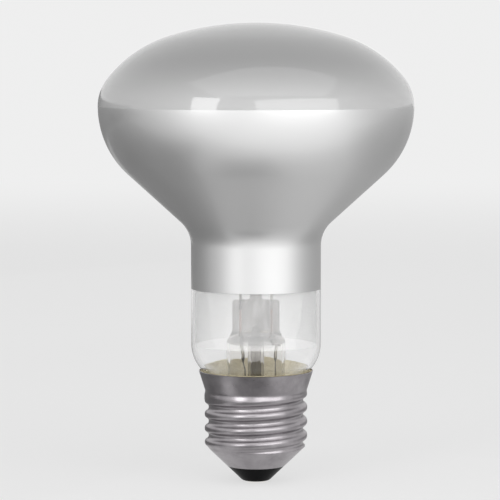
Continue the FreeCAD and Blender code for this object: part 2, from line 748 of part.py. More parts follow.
def side_wire_shape(radius):
    """The thin wire from the right weld, under the neck's end, past the cement and over the shell's rim."""
    azimuth, turn_share = number("side_wire_azimuth"), number("side_wire_turn_share")
    between = "(thread_bore + seal_radius) / 2"
    over_rim = "rim_height + side_wire_radius + wire_gap * 2"
    rim_gap = "rim_radius - cap_wall - side_wire_radius * 2 - wire_gap"
    corners = [
        FreeCAD.Vector(number("right_weld_offset"), 0, number("weld_top_height")),
        FreeCAD.Vector(number("right_weld_offset"), 0, number("weld_foot_height - side_wire_knee_drop")),
        round_point("side_wire_turn_radius", azimuth * turn_share, "side_wire_turn_height"),
        round_point(between, azimuth, "side_wire_turn_height"),
        round_point(between, azimuth, "skirt_root_height - side_wire_rise_drop"),
        round_point(rim_gap, azimuth, over_rim),
        round_point("side_wire_fold_radius", azimuth, over_rim),
        round_point("side_wire_fold_radius - side_wire_radius * 3", azimuth, "solder_height"),
    ]
    turns = tangent_spots(corners, [number("side_wire_bend")] * (len(corners) - 2))
    edges = []
    start = corners[0]
    for (first, last), corner in zip(turns, corners[1:]):
        edges.append(Part.LineSegment(start, first).toShape())
        middle = corner + ((first - corner) + (last - corner)) / 2
        radius_here = number("side_wire_bend")
        towards = (middle - corner).normalize()
        half = (first - last).Length / 2
        centre = middle + towards * math.sqrt(radius_here**2 - half**2)
        edges.append(Part.Arc(first, centre - towards * radius_here, last).toShape())
        start = last
    edges.append(Part.LineSegment(start, corners[-1]).toShape())
    ring = Part.Wire(Part.Circle(corners[0], FreeCAD.Vector(0, 0, 1), radius).toShape())
    return Part.Wire(edges).makePipeShell([ring], True, True)


def contact_wire_side():
    radius, length = number("side_wire_radius"), number("weld_length")
    foot = FreeCAD.Vector(number("right_weld_offset"), 0, number("weld_foot_height"))
    weld = Part.makeCone(radius, number("outer_lead_radius"), length, foot)
    made = doc.addObject("Part::Feature", "contact_wire_side")
    made.Label = "contact_wire_side"
    made.Shape = side_wire_shape(radius).fuse(weld)
    return made


# Screw shell: a drawn metal cup whose thread is rolled in, so the groove outside is a ridge inside

HEEL_CORNER = "(lip_height + (thread_crest_radius - lip_radius) / tan(heel_angle))"
HEEL_REACH = "(heel_bend * tan(heel_angle / 2))"
LIP_INSIDE = ("lip_radius - cap_wall * cos(heel_angle)", "(lip_height + cap_wall * sin(heel_angle))")
THREAD_SLOPE = "atan2(thread_depth; thread_pitch / 2 - thread_flat)"
SKIRT_SLOPE = "(rim_radius - skirt_root_radius) / skirt_length"
STEPS_PER_TURN = 8


def groove_section(floor_text, floor_half_text, clear_text):
    """A groove with sides at the thread's slope, in radius and height about the middle of its floor."""
    floor, clear, low = number(floor_text), number(clear_text), number(floor_half_text)
    wide = low + abs(clear - floor) / math.tan(math.radians(number(THREAD_SLOPE)))
    corners = [(clear, -wide), (floor, -low), (floor, low), (clear, wide), (clear, -wide)]
    return Part.makePolygon([FreeCAD.Vector(radius, 0, height) for radius, height in corners])


def thread_path(turns, last_run, away):
    """A right-handed helix in half turns, whose last part of a turn leaves the metal smoothly."""
    pitch = number("thread_pitch")
    steps = round(turns * STEPS_PER_TURN)
    spots = []
    for step in range(steps + 1):
        turn = turns * step / steps
        radius = number("thread_root_radius")
        if turns - turn < last_run:
            radius += away * (1 - (turns - turn) / last_run)**2
        angle = 2 * math.pi * turn
        spots.append(FreeCAD.Vector(radius * math.cos(angle), radius * math.sin(angle), pitch * turn))
    curve = Part.BSplineCurve()
    curve.interpolate(Points=spots, Parameters=[float(step) for step in range(steps + 1)])
    seams = list(range(0, steps, STEPS_PER_TURN // 2)) + [steps]
    return Part.Wire([curve.toShape(first, last) for first, last in zip(seams, seams[1:])])


def rolled(name, section, path, height):
    """A tool that carries a section along a thread path, upright all the way."""
    sweep = Part.BRepOffsetAPI.MakePipeShell(path)
    sweep.setBiNormalMode(FreeCAD.Vector(0, 0, 1))
    sweep.add(section)
    sweep.build()
    sweep.makeSolid()
    tool = doc.addObject("Part::Feature", name)
    tool.Shape = sweep.shape()
    tool.Placement = FreeCAD.Placement(FreeCAD.Vector(0, 0, height), FreeCAD.Rotation())
    return tool


def cut_from(label, base, tool):
    made = doc.addObject("Part::Cut", label)
    made.Base = base
    made.Tool = tool
    made.Label = label
    return made


def screw_shell():
    owner = body("shell_blank")
    inner_heel = (
        "(lip_height + cap_wall * sin(heel_angle)"
        " + (thread_bore - lip_radius + cap_wall * cos(heel_angle)) / tan(heel_angle))"
    )
    revolved(owner, [
        ("lip_radius", "lip_height"),
        ("thread_crest_radius - %s * sin(heel_angle)" % HEEL_REACH,
         "%s - %s * cos(heel_angle)" % (HEEL_CORNER, HEEL_REACH)),
        ("thread_crest_radius", "%s + %s" % (HEEL_CORNER, HEEL_REACH), ("round", "heel_bend", 1)),
        ("thread_crest_radius", "thread_end_height"),
        ("skirt_root_radius", "skirt_root_height"),
        ("rim_radius", "rim_height"),
        ("rim_radius - cap_wall", "rim_height"),
        ("skirt_root_radius - cap_wall", "skirt_root_height"),
        ("thread_bore", "thread_end_height"),
        ("thread_bore", "%s + %s" % (inner_heel, HEEL_REACH)),
        ("thread_bore - %s * sin(heel_angle)" % HEEL_REACH,
         "%s - %s * cos(heel_angle)" % (inner_heel, HEEL_REACH), ("round", "heel_bend", -1)),
        LIP_INSIDE,
    ])
    turns, runout = number("thread_turns"), number("thread_runout_turns")
    away = number("thread_depth + groove_clear * 2")
    outer_section = groove_section("thread_root_radius", "thread_flat / 2",
                                   "thread_crest_radius + groove_clear")
    groove = rolled("thread_groove", outer_section, thread_path(turns + runout, runout, away),
                    number("thread_start_height"))
    inner_section = groove_section("thread_crest_radius - cap_wall",
                                   "thread_flat / 2 - cap_wall * tan(%s / 2)" % THREAD_SLOPE,
                                   "thread_bore - groove_clear")
    ridge = rolled("thread_ridge", inner_section, thread_path(turns - number("ridge_start_turns"), 0, 0),
                   number("thread_start_height + thread_pitch * ridge_start_turns"))
    return cut_from("screw_shell", cut_from("grooved_shell", owner, groove), ridge)


# Black glass insulator, with the centre contact in its underside


def insulator():
    cone_foot = "(lip_radius - (lip_height - insulator_base_height) * tan(heel_angle))"
    reach = "(insulator_base_bend * tan((90 - heel_angle) / 2))"
    top_radius = "%s + (insulator_top_height - %s) * tan(heel_angle)" % LIP_INSIDE
    eyelet_top = "insulator_base_height + eyelet_thickness"
    return revolved(body("insulator"), [
        ("eyelet_radius", "insulator_base_height"),
        ("%s - %s" % (cone_foot, reach), "insulator_base_height"),
        ("%s + %s * sin(heel_angle)" % (cone_foot, reach),
         "insulator_base_height + %s * cos(heel_angle)" % reach, ("round", "insulator_base_bend", 1)),
        ("lip_radius", "lip_height"),
        LIP_INSIDE,
        (top_radius, "insulator_top_height"),
        ("insulator_hole", "insulator_top_height - insulator_dish"),
        ("insulator_hole", eyelet_top),
        ("eyelet_radius", eyelet_top),
    ])


def contact_eyelet():
    return revolved(body("contact_eyelet"), [
        ("eyelet_hole", "insulator_base_height"),
        ("eyelet_radius", "insulator_base_height"),
        ("eyelet_radius", "insulator_base_height + eyelet_thickness"),
        ("eyelet_hole", "insulator_base_height + eyelet_thickness"),
    ])


def contact_solder():
    eyelet_top = "insulator_base_height + eyelet_thickness"
    return revolved(body("contact_solder"), [
        ("0", "0"),
        ("contact_flat_radius", "0"),
        ("contact_radius", "insulator_base_height", ("round", "contact_edge", 1)),
        ("eyelet_hole", "insulator_base_height"),
        ("eyelet_hole", eyelet_top),
        ("contact_wire_radius", eyelet_top),
        ("contact_wire_radius", "contact_wire_end_height"),
        ("0", "contact_wire_end_height"),
    ])


# Cement between the neck and the shell, and the solder that holds the side wire


def skirt_radius(height_text, depth):
    return "rim_radius - (rim_height - (%s)) * %s - %s" % (height_text, SKIRT_SLOPE, depth)


def basing_cement():
    glass = bulb_line("(0 - cement_gap)")
    metal_depth = "(cap_wall + cement_gap)"
    top_height = "rim_height - cement_top_drop"
    top_radius = "%s - (%s - rim_height) * tan(taper_angle)" % glass["taper_top"]
    ring = body("cement_ring")
    revolved(ring, [
        ("seal_radius + cement_gap", "cement_foot_height"),
        ("thread_bore - cement_gap", "cement_foot_height"),
        ("thread_bore - cement_gap", "thread_end_height"),
        ("skirt_root_radius - %s" % metal_depth, "skirt_root_height"),
        (skirt_radius(top_height, metal_depth), top_height),
        (top_radius, "rim_height"),
        glass["taper_foot"],
        (*glass["seal"], ("round", "seal_bend - cement_gap", 1)),
    ])
    tool = doc.addObject("Part::Feature", "cement_wire_hole")
    tool.Shape = side_wire_shape(number("side_wire_radius + wire_gap"))
    return cut_from("basing_cement", ring, tool)


def side_solder():
    """A drop on the outside of the skirt, hollowed by the shell and the wire that it holds."""
    drop = doc.addObject("Part::Sphere", "solder_drop")
    drop.setExpression("Radius", bound("solder_radius"))
    radius_text = skirt_radius("solder_height", "solder_sink")
    place = round_point(radius_text, number("side_wire_azimuth"), "solder_height")
    drop.Placement = FreeCAD.Placement(place, FreeCAD.Rotation())
    cone = doc.addObject("Part::Cone", "skirt_cone")
    cone.setExpression("Radius1", bound("skirt_root_radius"))
    cone.setExpression("Radius2", bound("rim_radius"))
    cone.setExpression("Height", bound("skirt_length"))
    cone.setExpression("Placement.Base.z", bound("skirt_root_height"))
    tool = doc.addObject("Part::Feature", "solder_wire_hole")
    tool.Shape = side_wire_shape(number("side_wire_radius"))
    return cut_from("side_solder", cut_from("solder_cap", drop, cone), tool)


# The whole bulb


def build():
    glass_envelope()
    mirror_coat()
    flare_tube()
    exhaust_tube()
    support_rod()
    filament()
    for side, turn in (("right", 0.0), ("left", 180.0)):
        inner_lead(side, turn)
        dumet_wire(side, turn)
    for place, name in enumerate(("left", "middle", "right"), start=-1):
        filament_hook(name, number("middle_hook_azimuth + hook_spacing * %d" % place))
    outer_lead_left()
    outer_lead_right()
    contact_wire_centre()
    contact_wire_side()
    screw_shell()
    insulator()
    contact_eyelet()
    contact_solder()
    basing_cement()
    side_solder()
    doc.recompute()


NODES = [
    "glass_envelope", "mirror_coat", "flare_tube", "exhaust_tube", "support_rod", "filament",
    "inner_lead_left", "inner_lead_right",
    "filament_hook_left", "filament_hook_middle", "filament_hook_right",
    "dumet_wire_left", "dumet_wire_right", "outer_lead_left", "outer_lead_right",
    "contact_wire_centre", "contact_wire_side",
    "screw_shell", "insulator", "contact_eyelet", "contact_solder", "basing_cement", "side_solder",
]


def check_and_write():
    for made in doc.Objects:
        if "Invalid" in made.State or "Error" in made.State:
            raise RuntimeError("%s did not build: %s" % (made.Label, made.State))
    pieces = {name: doc.getObjectsByLabel(name)[0].Shape for name in NODES}
    for name, shape in pieces.items():
        if shape.isNull() or not shape.isValid() or len(shape.Solids) != 1:
            raise RuntimeError("%s is not one valid solid" % name)
    os.makedirs("parts", exist_ok=True)
    for name, shape in pieces.items():
        shape.exportStep("parts/%s.step" % name)
        print("%-22s %10.3f mm3" % (name, shape.Volume))


build()
check_and_write()
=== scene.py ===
"""Reflector bulb with a screw cap: the looks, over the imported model.

Blender's lengths are in metres. Sizes named in millimetres are turned by MM where they meet Blender.

The visible pieces are finer copies of the CAD solids, in the same places: the blown bulb in its three
finishes, the mirror film with its see-through band, the stem glass, the coiled filament, the rolled shell
and the black glass cone. An uneven bead of cement is added at the rim.
"""
import bpy
import math
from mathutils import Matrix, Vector, noise


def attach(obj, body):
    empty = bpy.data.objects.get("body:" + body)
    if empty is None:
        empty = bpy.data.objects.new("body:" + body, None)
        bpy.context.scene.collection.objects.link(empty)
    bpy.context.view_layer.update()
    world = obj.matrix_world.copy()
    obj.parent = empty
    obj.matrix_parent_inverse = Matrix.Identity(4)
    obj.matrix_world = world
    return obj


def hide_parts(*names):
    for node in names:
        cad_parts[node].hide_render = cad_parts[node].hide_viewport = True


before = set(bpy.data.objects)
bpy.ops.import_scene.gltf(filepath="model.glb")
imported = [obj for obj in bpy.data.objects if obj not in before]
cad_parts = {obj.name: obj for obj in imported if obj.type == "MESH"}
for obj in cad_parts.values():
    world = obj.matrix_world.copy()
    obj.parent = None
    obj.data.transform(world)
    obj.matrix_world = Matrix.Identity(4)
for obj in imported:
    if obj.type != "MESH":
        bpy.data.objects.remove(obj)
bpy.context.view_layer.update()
MM = 0.001
SAME_SPOT = 0.5e-6

# Sizes that the pieces share, in millimetres and degrees

BULB_RADIUS = 39.98
SEAM_HEIGHT = 95.6
CROWN_RADIUS, BROW_RADIUS, CORNER_RADIUS = 74.0, 32.0, 11.5
CROWN_RISE = 21.09
BELLY_RADIUS = 23.3
CONE_ANGLE = 47.7
THROAT_BEND = 8.0
NECK_RADIUS = 16.5
NECK_ROW_LOW, NECK_ROW_HIGH = 41.0, 53.0
GLASS_WALL = 0.9
FILM_GAP, FILM_WALL = 0.02, 0.04
MIRROR_EDGE = 49.4
BAND_EDGE = 35.1
SHOULDER_HEIGHT, SHOULDER_BEND = 35.4, 9.9
TAPER_ANGLE = 43.0
SEAL_RADIUS, SEAL_BEND = 10.9, 4.0
NECK_END = 14.0
ROUND_STEPS, SHELL_STEPS, STEM_STEPS, ROD_STEPS = 160, 180, 96, 48

# Colours and finishes


def linear(text):
    """A colour written as six hex digits, as the shader wants it."""
    parts = [int(text[place:place + 2], 16) / 255 for place in (0, 2, 4)]
    light = [part / 12.92 if part <= 0.04045 else ((part + 0.055) / 1.055) ** 2.4 for part in parts]
    return (*light, 1.0)


def add(tree, kind, settings, links=()):
    """Adds a node with its settings, which are its own fields or its sockets, and with its links."""
    node = tree.nodes.new(kind)
    for name, value in settings.items():
        if isinstance(name, int) or name in node.inputs:
            node.inputs[name].default_value = value
        else:
            setattr(node, name, value)
    for name, source in dict(links).items():
        tree.links.new(source, node.inputs[name])
    return node


def material(name):
    """A new material with only its output."""
    made = bpy.data.materials.new(name)
    made.use_nodes = True
    made.node_tree.nodes.clear()
    return made, made.node_tree, made.node_tree.nodes.new("ShaderNodeOutputMaterial")


def etched_dome_glass():
    """Soda glass that is etched inside and smooth outside: a soft grey white under a thin wet-looking gloss.
    It is painted paler next to the seam and darker above it: painted light that stands in for the mirror's
    light coming through from close behind."""
    painted_light_rise = 13.0
    made, tree, output = material("etched_dome_glass")
    place = add(tree, "ShaderNodeTexCoord", {})
    height = add(tree, "ShaderNodeSeparateXYZ", {}, {"Vector": place.outputs["Object"]})
    # Painted light: from the seam upwards the base colour goes from pale grey to darker grey, for the
    # mirror's light showing through near the seam.
    rise = add(tree, "ShaderNodeMapRange", {
        "From Min": SEAM_HEIGHT * MM, "From Max": (SEAM_HEIGHT + painted_light_rise) * MM,
        "interpolation_type": "SMOOTHSTEP",
    }, {"Value": height.outputs["Z"]})
    tone = add(tree, "ShaderNodeMix", {"data_type": "RGBA", 6: linear("bababa"), 7: linear("8e8e8e")}, {
        "Factor": rise.outputs["Result"]})
    grain = add(tree, "ShaderNodeTexNoise", {"Scale": 1 / (0.4 * MM), "Detail": 3.0}, {
        "Vector": place.outputs["Object"]})
    bump = add(tree, "ShaderNodeBump", {"Strength": 0.03, "Distance": 0.05 * MM}, {
        "Height": grain.outputs["Fac"]})
    shader = add(tree, "ShaderNodeBsdfPrincipled", {
        "Roughness": 0.45, "IOR": 1.5, "Coat Weight": 1.0, "Coat Roughness": 0.06, "Coat IOR": 1.6,
    }, {"Base Color": tone.outputs[2], "Normal": bump.outputs["Normal"]})
    tree.links.new(shader.outputs[0], output.inputs["Surface"])
    return made


def silvered_glass():
    """Aluminium deposited on the etched inside of the glass: a satin silver with wide soft highlights, under
    the smooth outer face of the glass."""
    made, tree, output = material("silvered_glass")
    place = add(tree, "ShaderNodeTexCoord", {})
    cloud = add(tree, "ShaderNodeTexNoise", {"Scale": 1 / (14 * MM), "Detail": 2.0}, {
        "Vector": place.outputs["Object"]})
    rough = add(tree, "ShaderNodeMapRange", {
        "From Min": 0.3, "From Max": 0.7, "To Min": 0.44, "To Max": 0.5}, {"Value": cloud.outputs["Fac"]})
    shader = add(tree, "ShaderNodeBsdfPrincipled", {
        "Base Color": linear("c9c9c9"), "Metallic": 1.0,
        "Coat Weight": 0.5, "Coat Roughness": 0.15, "Coat IOR": 1.5,
    }, {"Roughness": rough.outputs["Result"]})
    tree.links.new(shader.outputs[0], output.inputs["Surface"])
    return made


def clear_neck_glass():
    """Clear soda glass, fire-polished: it shows only by what it bends and by bright edges."""
    made, tree, output = material("clear_neck_glass")
    shader = add(tree, "ShaderNodeBsdfPrincipled", {
        "Base Color": linear("ffffff"), "Roughness": 0.0, "IOR": 1.5, "Transmission Weight": 1.0})
    tree.links.new(shader.outputs[0], output.inputs["Surface"])
    return made


def melted_stem_glass():
    """The stem's soda glass, clear in the thin flare and an uneven grey where it is thick: in the press and,
    less so, in the exhaust tube. The grey is painted shade, standing in for the light that bending and
    reflecting at its many glass faces take away there. It bends light less than real glass does, so that the
    wires behind it stay in sight."""
    clear_below, shade_above = 34.5 * MM, 37.0 * MM
    clear_outside, shade_inside, tube_shade_share = 2.7 * MM, 2.3 * MM, 0.36
    made, tree, output = material("stem_glass")
    place = add(tree, "ShaderNodeTexCoord", {})
    axes = add(tree, "ShaderNodeSeparateXYZ", {}, {"Vector": place.outputs["Object"]})
    press = add(tree, "ShaderNodeMapRange", {
        "From Min": clear_below, "From Max": shade_above, "interpolation_type": "SMOOTHSTEP",
    }, {"Value": axes.outputs["Z"]})
    flat = add(tree, "ShaderNodeVectorMath", {"operation": "MULTIPLY", 1: (1.0, 1.0, 0.0)}, {
        0: place.outputs["Object"]})
    reach = add(tree, "ShaderNodeVectorMath", {"operation": "LENGTH"}, {0: flat.outputs["Vector"]})
    tube = add(tree, "ShaderNodeMapRange", {
        "From Min": clear_outside, "From Max": shade_inside, "interpolation_type": "SMOOTHSTEP",
    }, {"Value": reach.outputs["Value"]})
    thin_wall = add(tree, "ShaderNodeMath", {"operation": "MULTIPLY", 1: tube_shade_share}, {
        0: tube.outputs["Result"]})
    thick_shade = add(tree, "ShaderNodeMath", {"operation": "MAXIMUM"}, {
        0: press.outputs["Result"], 1: thin_wall.outputs[0]})
    tall = add(tree, "ShaderNodeMapping", {"Scale": (1.0, 1.0, 0.25)}, {"Vector": place.outputs["Object"]})
    seams = add(tree, "ShaderNodeTexNoise", {"Scale": 1 / (1.3 * MM), "Detail": 2.0}, {
        "Vector": tall.outputs["Vector"]})
    uneven = add(tree, "ShaderNodeMapRange", {
        "From Min": 0.4, "From Max": 0.6, "To Min": 0.6, "To Max": 1.0}, {"Value": seams.outputs["Fac"]})
    # Painted shade: the press and the exhaust tube are greyed here, for the darkening that bending and
    # reflections give thick glass.
    painted_shade = add(tree, "ShaderNodeMath", {"operation": "MULTIPLY"}, {
        0: thick_shade.outputs[0], 1: uneven.outputs["Result"]})
    tone = add(tree, "ShaderNodeMix", {"data_type": "RGBA", 6: linear("f8f7f5"), 7: linear("5a534e")}, {
        "Factor": painted_shade.outputs[0]})
    shader = add(tree, "ShaderNodeBsdfPrincipled", {
        "Roughness": 0.05, "IOR": 1.12, "Transmission Weight": 1.0}, {"Base Color": tone.outputs[2]})
    tree.links.new(shader.outputs[0], output.inputs["Surface"])
    return made


def inner_mirror():
    """The film's own inner face, which is brighter and sharper than it looks from outside."""
    made, tree, output = material("inner_mirror")
    shader = add(tree, "ShaderNodeBsdfPrincipled", {
        "Base Color": linear("e6e6e6"), "Metallic": 1.0, "Roughness": 0.16})
    tree.links.new(shader.outputs[0], output.inputs["Surface"])
    return made


def thin_film():
    """The overspray below the mirror's edge, so thin that it only greys what is behind it."""
    made, tree, output = material("thin_film")
    shader = add(tree, "ShaderNodeBsdfPrincipled", {
        "Base Color": linear("e0e0e0"), "Roughness": 0.5, "Specular IOR Level": 0.3, "Alpha": 0.22})
    tree.links.new(shader.outputs[0], output.inputs["Surface"])
    return made


def drawn_wire(name, tint, roughness):
    """Wire drawn through a die: a metal grey with fine marks along it."""
    made, tree, output = material(name)
    place = add(tree, "ShaderNodeTexCoord", {})
    stretch = add(tree, "ShaderNodeMapping", {"Scale": (1.0, 1.0, 0.1)}, {"Vector": place.outputs["Object"]})
    marks = add(tree, "ShaderNodeTexNoise", {"Scale": 1 / (0.15 * MM), "Detail": 2.0}, {
        "Vector": stretch.outputs["Vector"]})
    bump = add(tree, "ShaderNodeBump", {"Strength": 0.15, "Distance": 0.02 * MM}, {
        "Height": marks.outputs["Fac"]})
    shader = add(tree, "ShaderNodeBsdfPrincipled", {
        "Base Color": linear(tint), "Metallic": 1.0, "Roughness": roughness,
    }, {"Normal": bump.outputs["Normal"]})
    tree.links.new(shader.outputs[0], output.inputs["Surface"])
    return made


def rolled_cap_metal():
    """Aluminium alloy sheet, drawn and then rolled: a satin grey, faintly marked and a little stained."""
    made, tree, output = material("rolled_cap_metal")
    place = add(tree, "ShaderNodeTexCoord", {})
    stretch = add(tree, "ShaderNodeMapping", {"Scale": (0.08, 0.08, 1.0)}, {
        "Vector": place.outputs["Object"]})
    marks = add(tree, "ShaderNodeTexNoise", {"Scale": 1 / (0.35 * MM), "Detail": 4.0}, {
        "Vector": stretch.outputs["Vector"]})
    stain = add(tree, "ShaderNodeTexNoise", {"Scale": 1 / (5 * MM), "Detail": 5.0, "Roughness": 0.6}, {
        "Vector": place.outputs["Object"]})
    tone = add(tree, "ShaderNodeValToRGB", {}, {"Fac": stain.outputs["Fac"]})
    tone.color_ramp.elements[0].position = 0.35
    tone.color_ramp.elements[0].color = linear("928e91")
    tone.color_ramp.elements[1].position = 0.65
    tone.color_ramp.elements[1].color = linear("a8a4a7")
    rough = add(tree, "ShaderNodeMapRange", {
        "From Min": 0.3, "From Max": 0.7, "To Min": 0.27, "To Max": 0.36}, {"Value": marks.outputs["Fac"]})
    bump = add(tree, "ShaderNodeBump", {"Strength": 0.12, "Distance": 0.03 * MM}, {
        "Height": marks.outputs["Fac"]})
    shader = add(tree, "ShaderNodeBsdfPrincipled", {"Metallic": 1.0}, {
        "Base Color": tone.outputs["Color"], "Roughness": rough.outputs["Result"],
        "Normal": bump.outputs["Normal"]})
    tree.links.new(shader.outputs[0], output.inputs["Surface"])
    return made


def black_vitrite():
    """Black glass, pressed hot: deep black with a broad gloss and shallow waves."""
    made, tree, output = material("black_vitrite")
    place = add(tree, "ShaderNodeTexCoord", {})
    waves = add(tree, "ShaderNodeTexNoise", {"Scale": 1 / (2.5 * MM), "Detail": 2.0}, {
        "Vector": place.outputs["Object"]})
    bump = add(tree, "ShaderNodeBump", {"Strength": 0.2, "Distance": 0.15 * MM}, {
        "Height": waves.outputs["Fac"]})
    shader = add(tree, "ShaderNodeBsdfPrincipled", {
        "Base Color": linear("060607"), "Roughness": 0.32, "IOR": 1.5, "Specular IOR Level": 0.04,
    }, {"Normal": bump.outputs["Normal"]})
    tree.links.new(shader.outputs[0], output.inputs["Surface"])
    return made


def pressed_brass():
    """Brass sheet, pressed: warm yellow, a little dulled."""
    made, tree, output = material("pressed_brass")
    place = add(tree, "ShaderNodeTexCoord", {})
    dull = add(tree, "ShaderNodeTexNoise", {"Scale": 1 / (0.6 * MM), "Detail": 3.0}, {
        "Vector": place.outputs["Object"]})
    rough = add(tree, "ShaderNodeMapRange", {
        "From Min": 0.3, "From Max": 0.7, "To Min": 0.25, "To Max": 0.4}, {"Value": dull.outputs["Fac"]})
    shader = add(tree, "ShaderNodeBsdfPrincipled", {"Base Color": linear("d8b46a"), "Metallic": 1.0}, {
        "Roughness": rough.outputs["Result"]})
    tree.links.new(shader.outputs[0], output.inputs["Surface"])
    return made


def soft_solder():
    """Tin and lead, melted and set: a dull bright grey with a fine crystal skin."""
    made, tree, output = material("soft_solder")
    place = add(tree, "ShaderNodeTexCoord", {})
    skin = add(tree, "ShaderNodeTexVoronoi", {"Scale": 1 / (0.25 * MM)}, {"Vector": place.outputs["Object"]})
    bump = add(tree, "ShaderNodeBump", {"Strength": 0.25, "Distance": 0.02 * MM}, {
        "Height": skin.outputs["Distance"]})
    shader = add(tree, "ShaderNodeBsdfPrincipled", {
        "Base Color": linear("c2c2c0"), "Metallic": 1.0, "Roughness": 0.38,
    }, {"Normal": bump.outputs["Normal"]})
    tree.links.new(shader.outputs[0], output.inputs["Surface"])
    return made


def baked_cement():
    """Resin cement with marble powder, baked: a matt yellow beige with pale grains and darker pits."""
    made, tree, output = material("baked_cement")
    place = add(tree, "ShaderNodeTexCoord", {})
    grains = add(tree, "ShaderNodeTexNoise", {"Scale": 1 / (0.7 * MM), "Detail": 6.0, "Roughness": 0.65}, {
        "Vector": place.outputs["Object"]})
    tone = add(tree, "ShaderNodeValToRGB", {}, {"Fac": grains.outputs["Fac"]})
    tone.color_ramp.elements[0].position = 0.3
    tone.color_ramp.elements[0].color = linear("cfc3a0")
    tone.color_ramp.elements[1].position = 0.7
    tone.color_ramp.elements[1].color = linear("f5eed6")
    bump = add(tree, "ShaderNodeBump", {"Strength": 0.6, "Distance": 0.2 * MM}, {
        "Height": grains.outputs["Fac"]})
    shader = add(tree, "ShaderNodeBsdfPrincipled", {"Roughness": 0.85}, {
        "Base Color": tone.outputs["Color"], "Normal": bump.outputs["Normal"]})
    tree.links.new(shader.outputs[0], output.inputs["Surface"])
    return made


ETCHED_DOME = etched_dome_glass()
SILVERED = silvered_glass()
CLEAR_NECK = clear_neck_glass()
STEM_GLASS = melted_stem_glass()
INNER_MIRROR = inner_mirror()
THIN_FILM = thin_film()
NICKEL = drawn_wire("nickel_wire", "9c9890", 0.32)
MOLYBDENUM = drawn_wire("molybdenum_wire", "7d7d80", 0.35)
TUNGSTEN = drawn_wire("tungsten_coil", "5e5e62", 0.4)
COPPER_CLAD = drawn_wire("copper_clad_wire", "c98a72", 0.35)
FUSE_WIRE = drawn_wire("fuse_wire", "8c8880", 0.35)
CAP_METAL = rolled_cap_metal()
BLACK_GLASS = black_vitrite()
BRASS = pressed_brass()
SOLDER = soft_solder()
CEMENT = baked_cement()

# Working words


def alone(piece):
    """Selects one object and nothing else."""
    bpy.ops.object.select_all(action="DESELECT")
    piece.select_set(True)
    bpy.context.view_layer.objects.active = piece


def start_ring(name, radius, height, count):
    """A circle of vertices round the axis, open for editing, with all of it selected."""
    bpy.ops.object.select_all(action="DESELECT")
    bpy.ops.mesh.primitive_circle_add(vertices=count, radius=radius * MM, location=(0, 0, height * MM))
    piece = bpy.context.object
    piece.name = name
    bpy.ops.object.transform_apply(location=True, rotation=False, scale=False)
    bpy.ops.object.mode_set(mode="EDIT")
    bpy.ops.mesh.select_all(action="SELECT")
    return piece


def draw_rows(spots):
    """Extrudes the selected ring through radii and heights, one row for each, from the first spot on."""
    for before, after in zip(spots, spots[1:]):
        rise, share = (after[1] - before[1]) * MM, after[0] / before[0]
        bpy.ops.mesh.extrude_edges_move(TRANSFORM_OT_translate={"value": (0, 0, rise)})
        bpy.ops.transform.resize(value=(share, share, 1), center_override=(0, 0, after[1] * MM))


def close_pole():
    """Ends the selected ring in one point on the axis."""
    bpy.ops.mesh.extrude_edges_move(TRANSFORM_OT_translate={"value": (0, 0, 0)})
    bpy.ops.mesh.merge(type="CENTER")


def lift_pole(piece, height):
    """Sets the one vertex on the axis to its true height."""
    pole = min(piece.data.vertices, key=lambda vertex: math.hypot(vertex.co.x, vertex.co.y))
    pole.co = Vector((0, 0, height * MM))


def finished(piece, angle=40):
    """Leaves edit mode with the normals outwards and smooth shading up to an angle in degrees."""
    bpy.ops.mesh.select_all(action="SELECT")
    bpy.ops.mesh.remove_doubles(threshold=SAME_SPOT)
    bpy.ops.mesh.normals_make_consistent(inside=False)
    bpy.ops.object.mode_set(mode="OBJECT")
    alone(piece)
    bpy.ops.object.shade_smooth_by_angle(angle=math.radians(angle))


def walled(piece, thickness, angle=40):
    """Gives a drawn face its wall, inwards, with sharp rims."""
    alone(piece)
    modifier = piece.modifiers.new("wall", "SOLIDIFY")
    modifier.thickness = thickness * MM
    modifier.offset = -1.0
    modifier.use_even_offset = True
    bpy.ops.object.modifier_apply(modifier="wall")
    bpy.ops.object.shade_smooth_by_angle(angle=math.radians(angle))


def line(low, high, steps):
    """Points of a straight line in radius and height, without the first."""
    return [
        (low[0] + (high[0] - low[0]) * step / steps, low[1] + (high[1] - low[1]) * step / steps)
        for step in range(1, steps + 1)
    ]


def arc(centre, radius, first, last, steps):
    """Points of an arc in radius and height, between two angles in degrees, without the first."""
    turns = [math.radians(first + (last - first) * step / steps) for step in range(1, steps + 1)]
    return [(centre[0] + radius * math.cos(turn), centre[1] + radius * math.sin(turn)) for turn in turns]


def wear(piece, *finishes):
    """Gives a piece its materials, in the order of its slots."""
    piece.data.materials.clear()
    for finish in finishes:
        piece.data.materials.append(finish)


def paint_below(piece, height, index):
    """Gives the faces whose middle lies below a height another slot."""
    for face in piece.data.polygons:
        if face.center.z < height * MM:
            face.material_index = index


def placed(piece, *nodes):
    """A finished piece rides on the lamp and stands for its solids."""
    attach(piece, "root")
    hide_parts(*nodes)


def smooth_copy(node, name, finish):
    """A copy of a solid with its loose triangles merged and shaded smooth."""
    piece = bpy.data.objects.new(name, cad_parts[node].data.copy())
    bpy.context.scene.collection.objects.link(piece)
    alone(piece)
    bpy.ops.object.mode_set(mode="EDIT")
    finished(piece, 30)
    wear(piece, finish)
    placed(piece, node)


# The bulb's outline, with its rows at a depth under the outer face

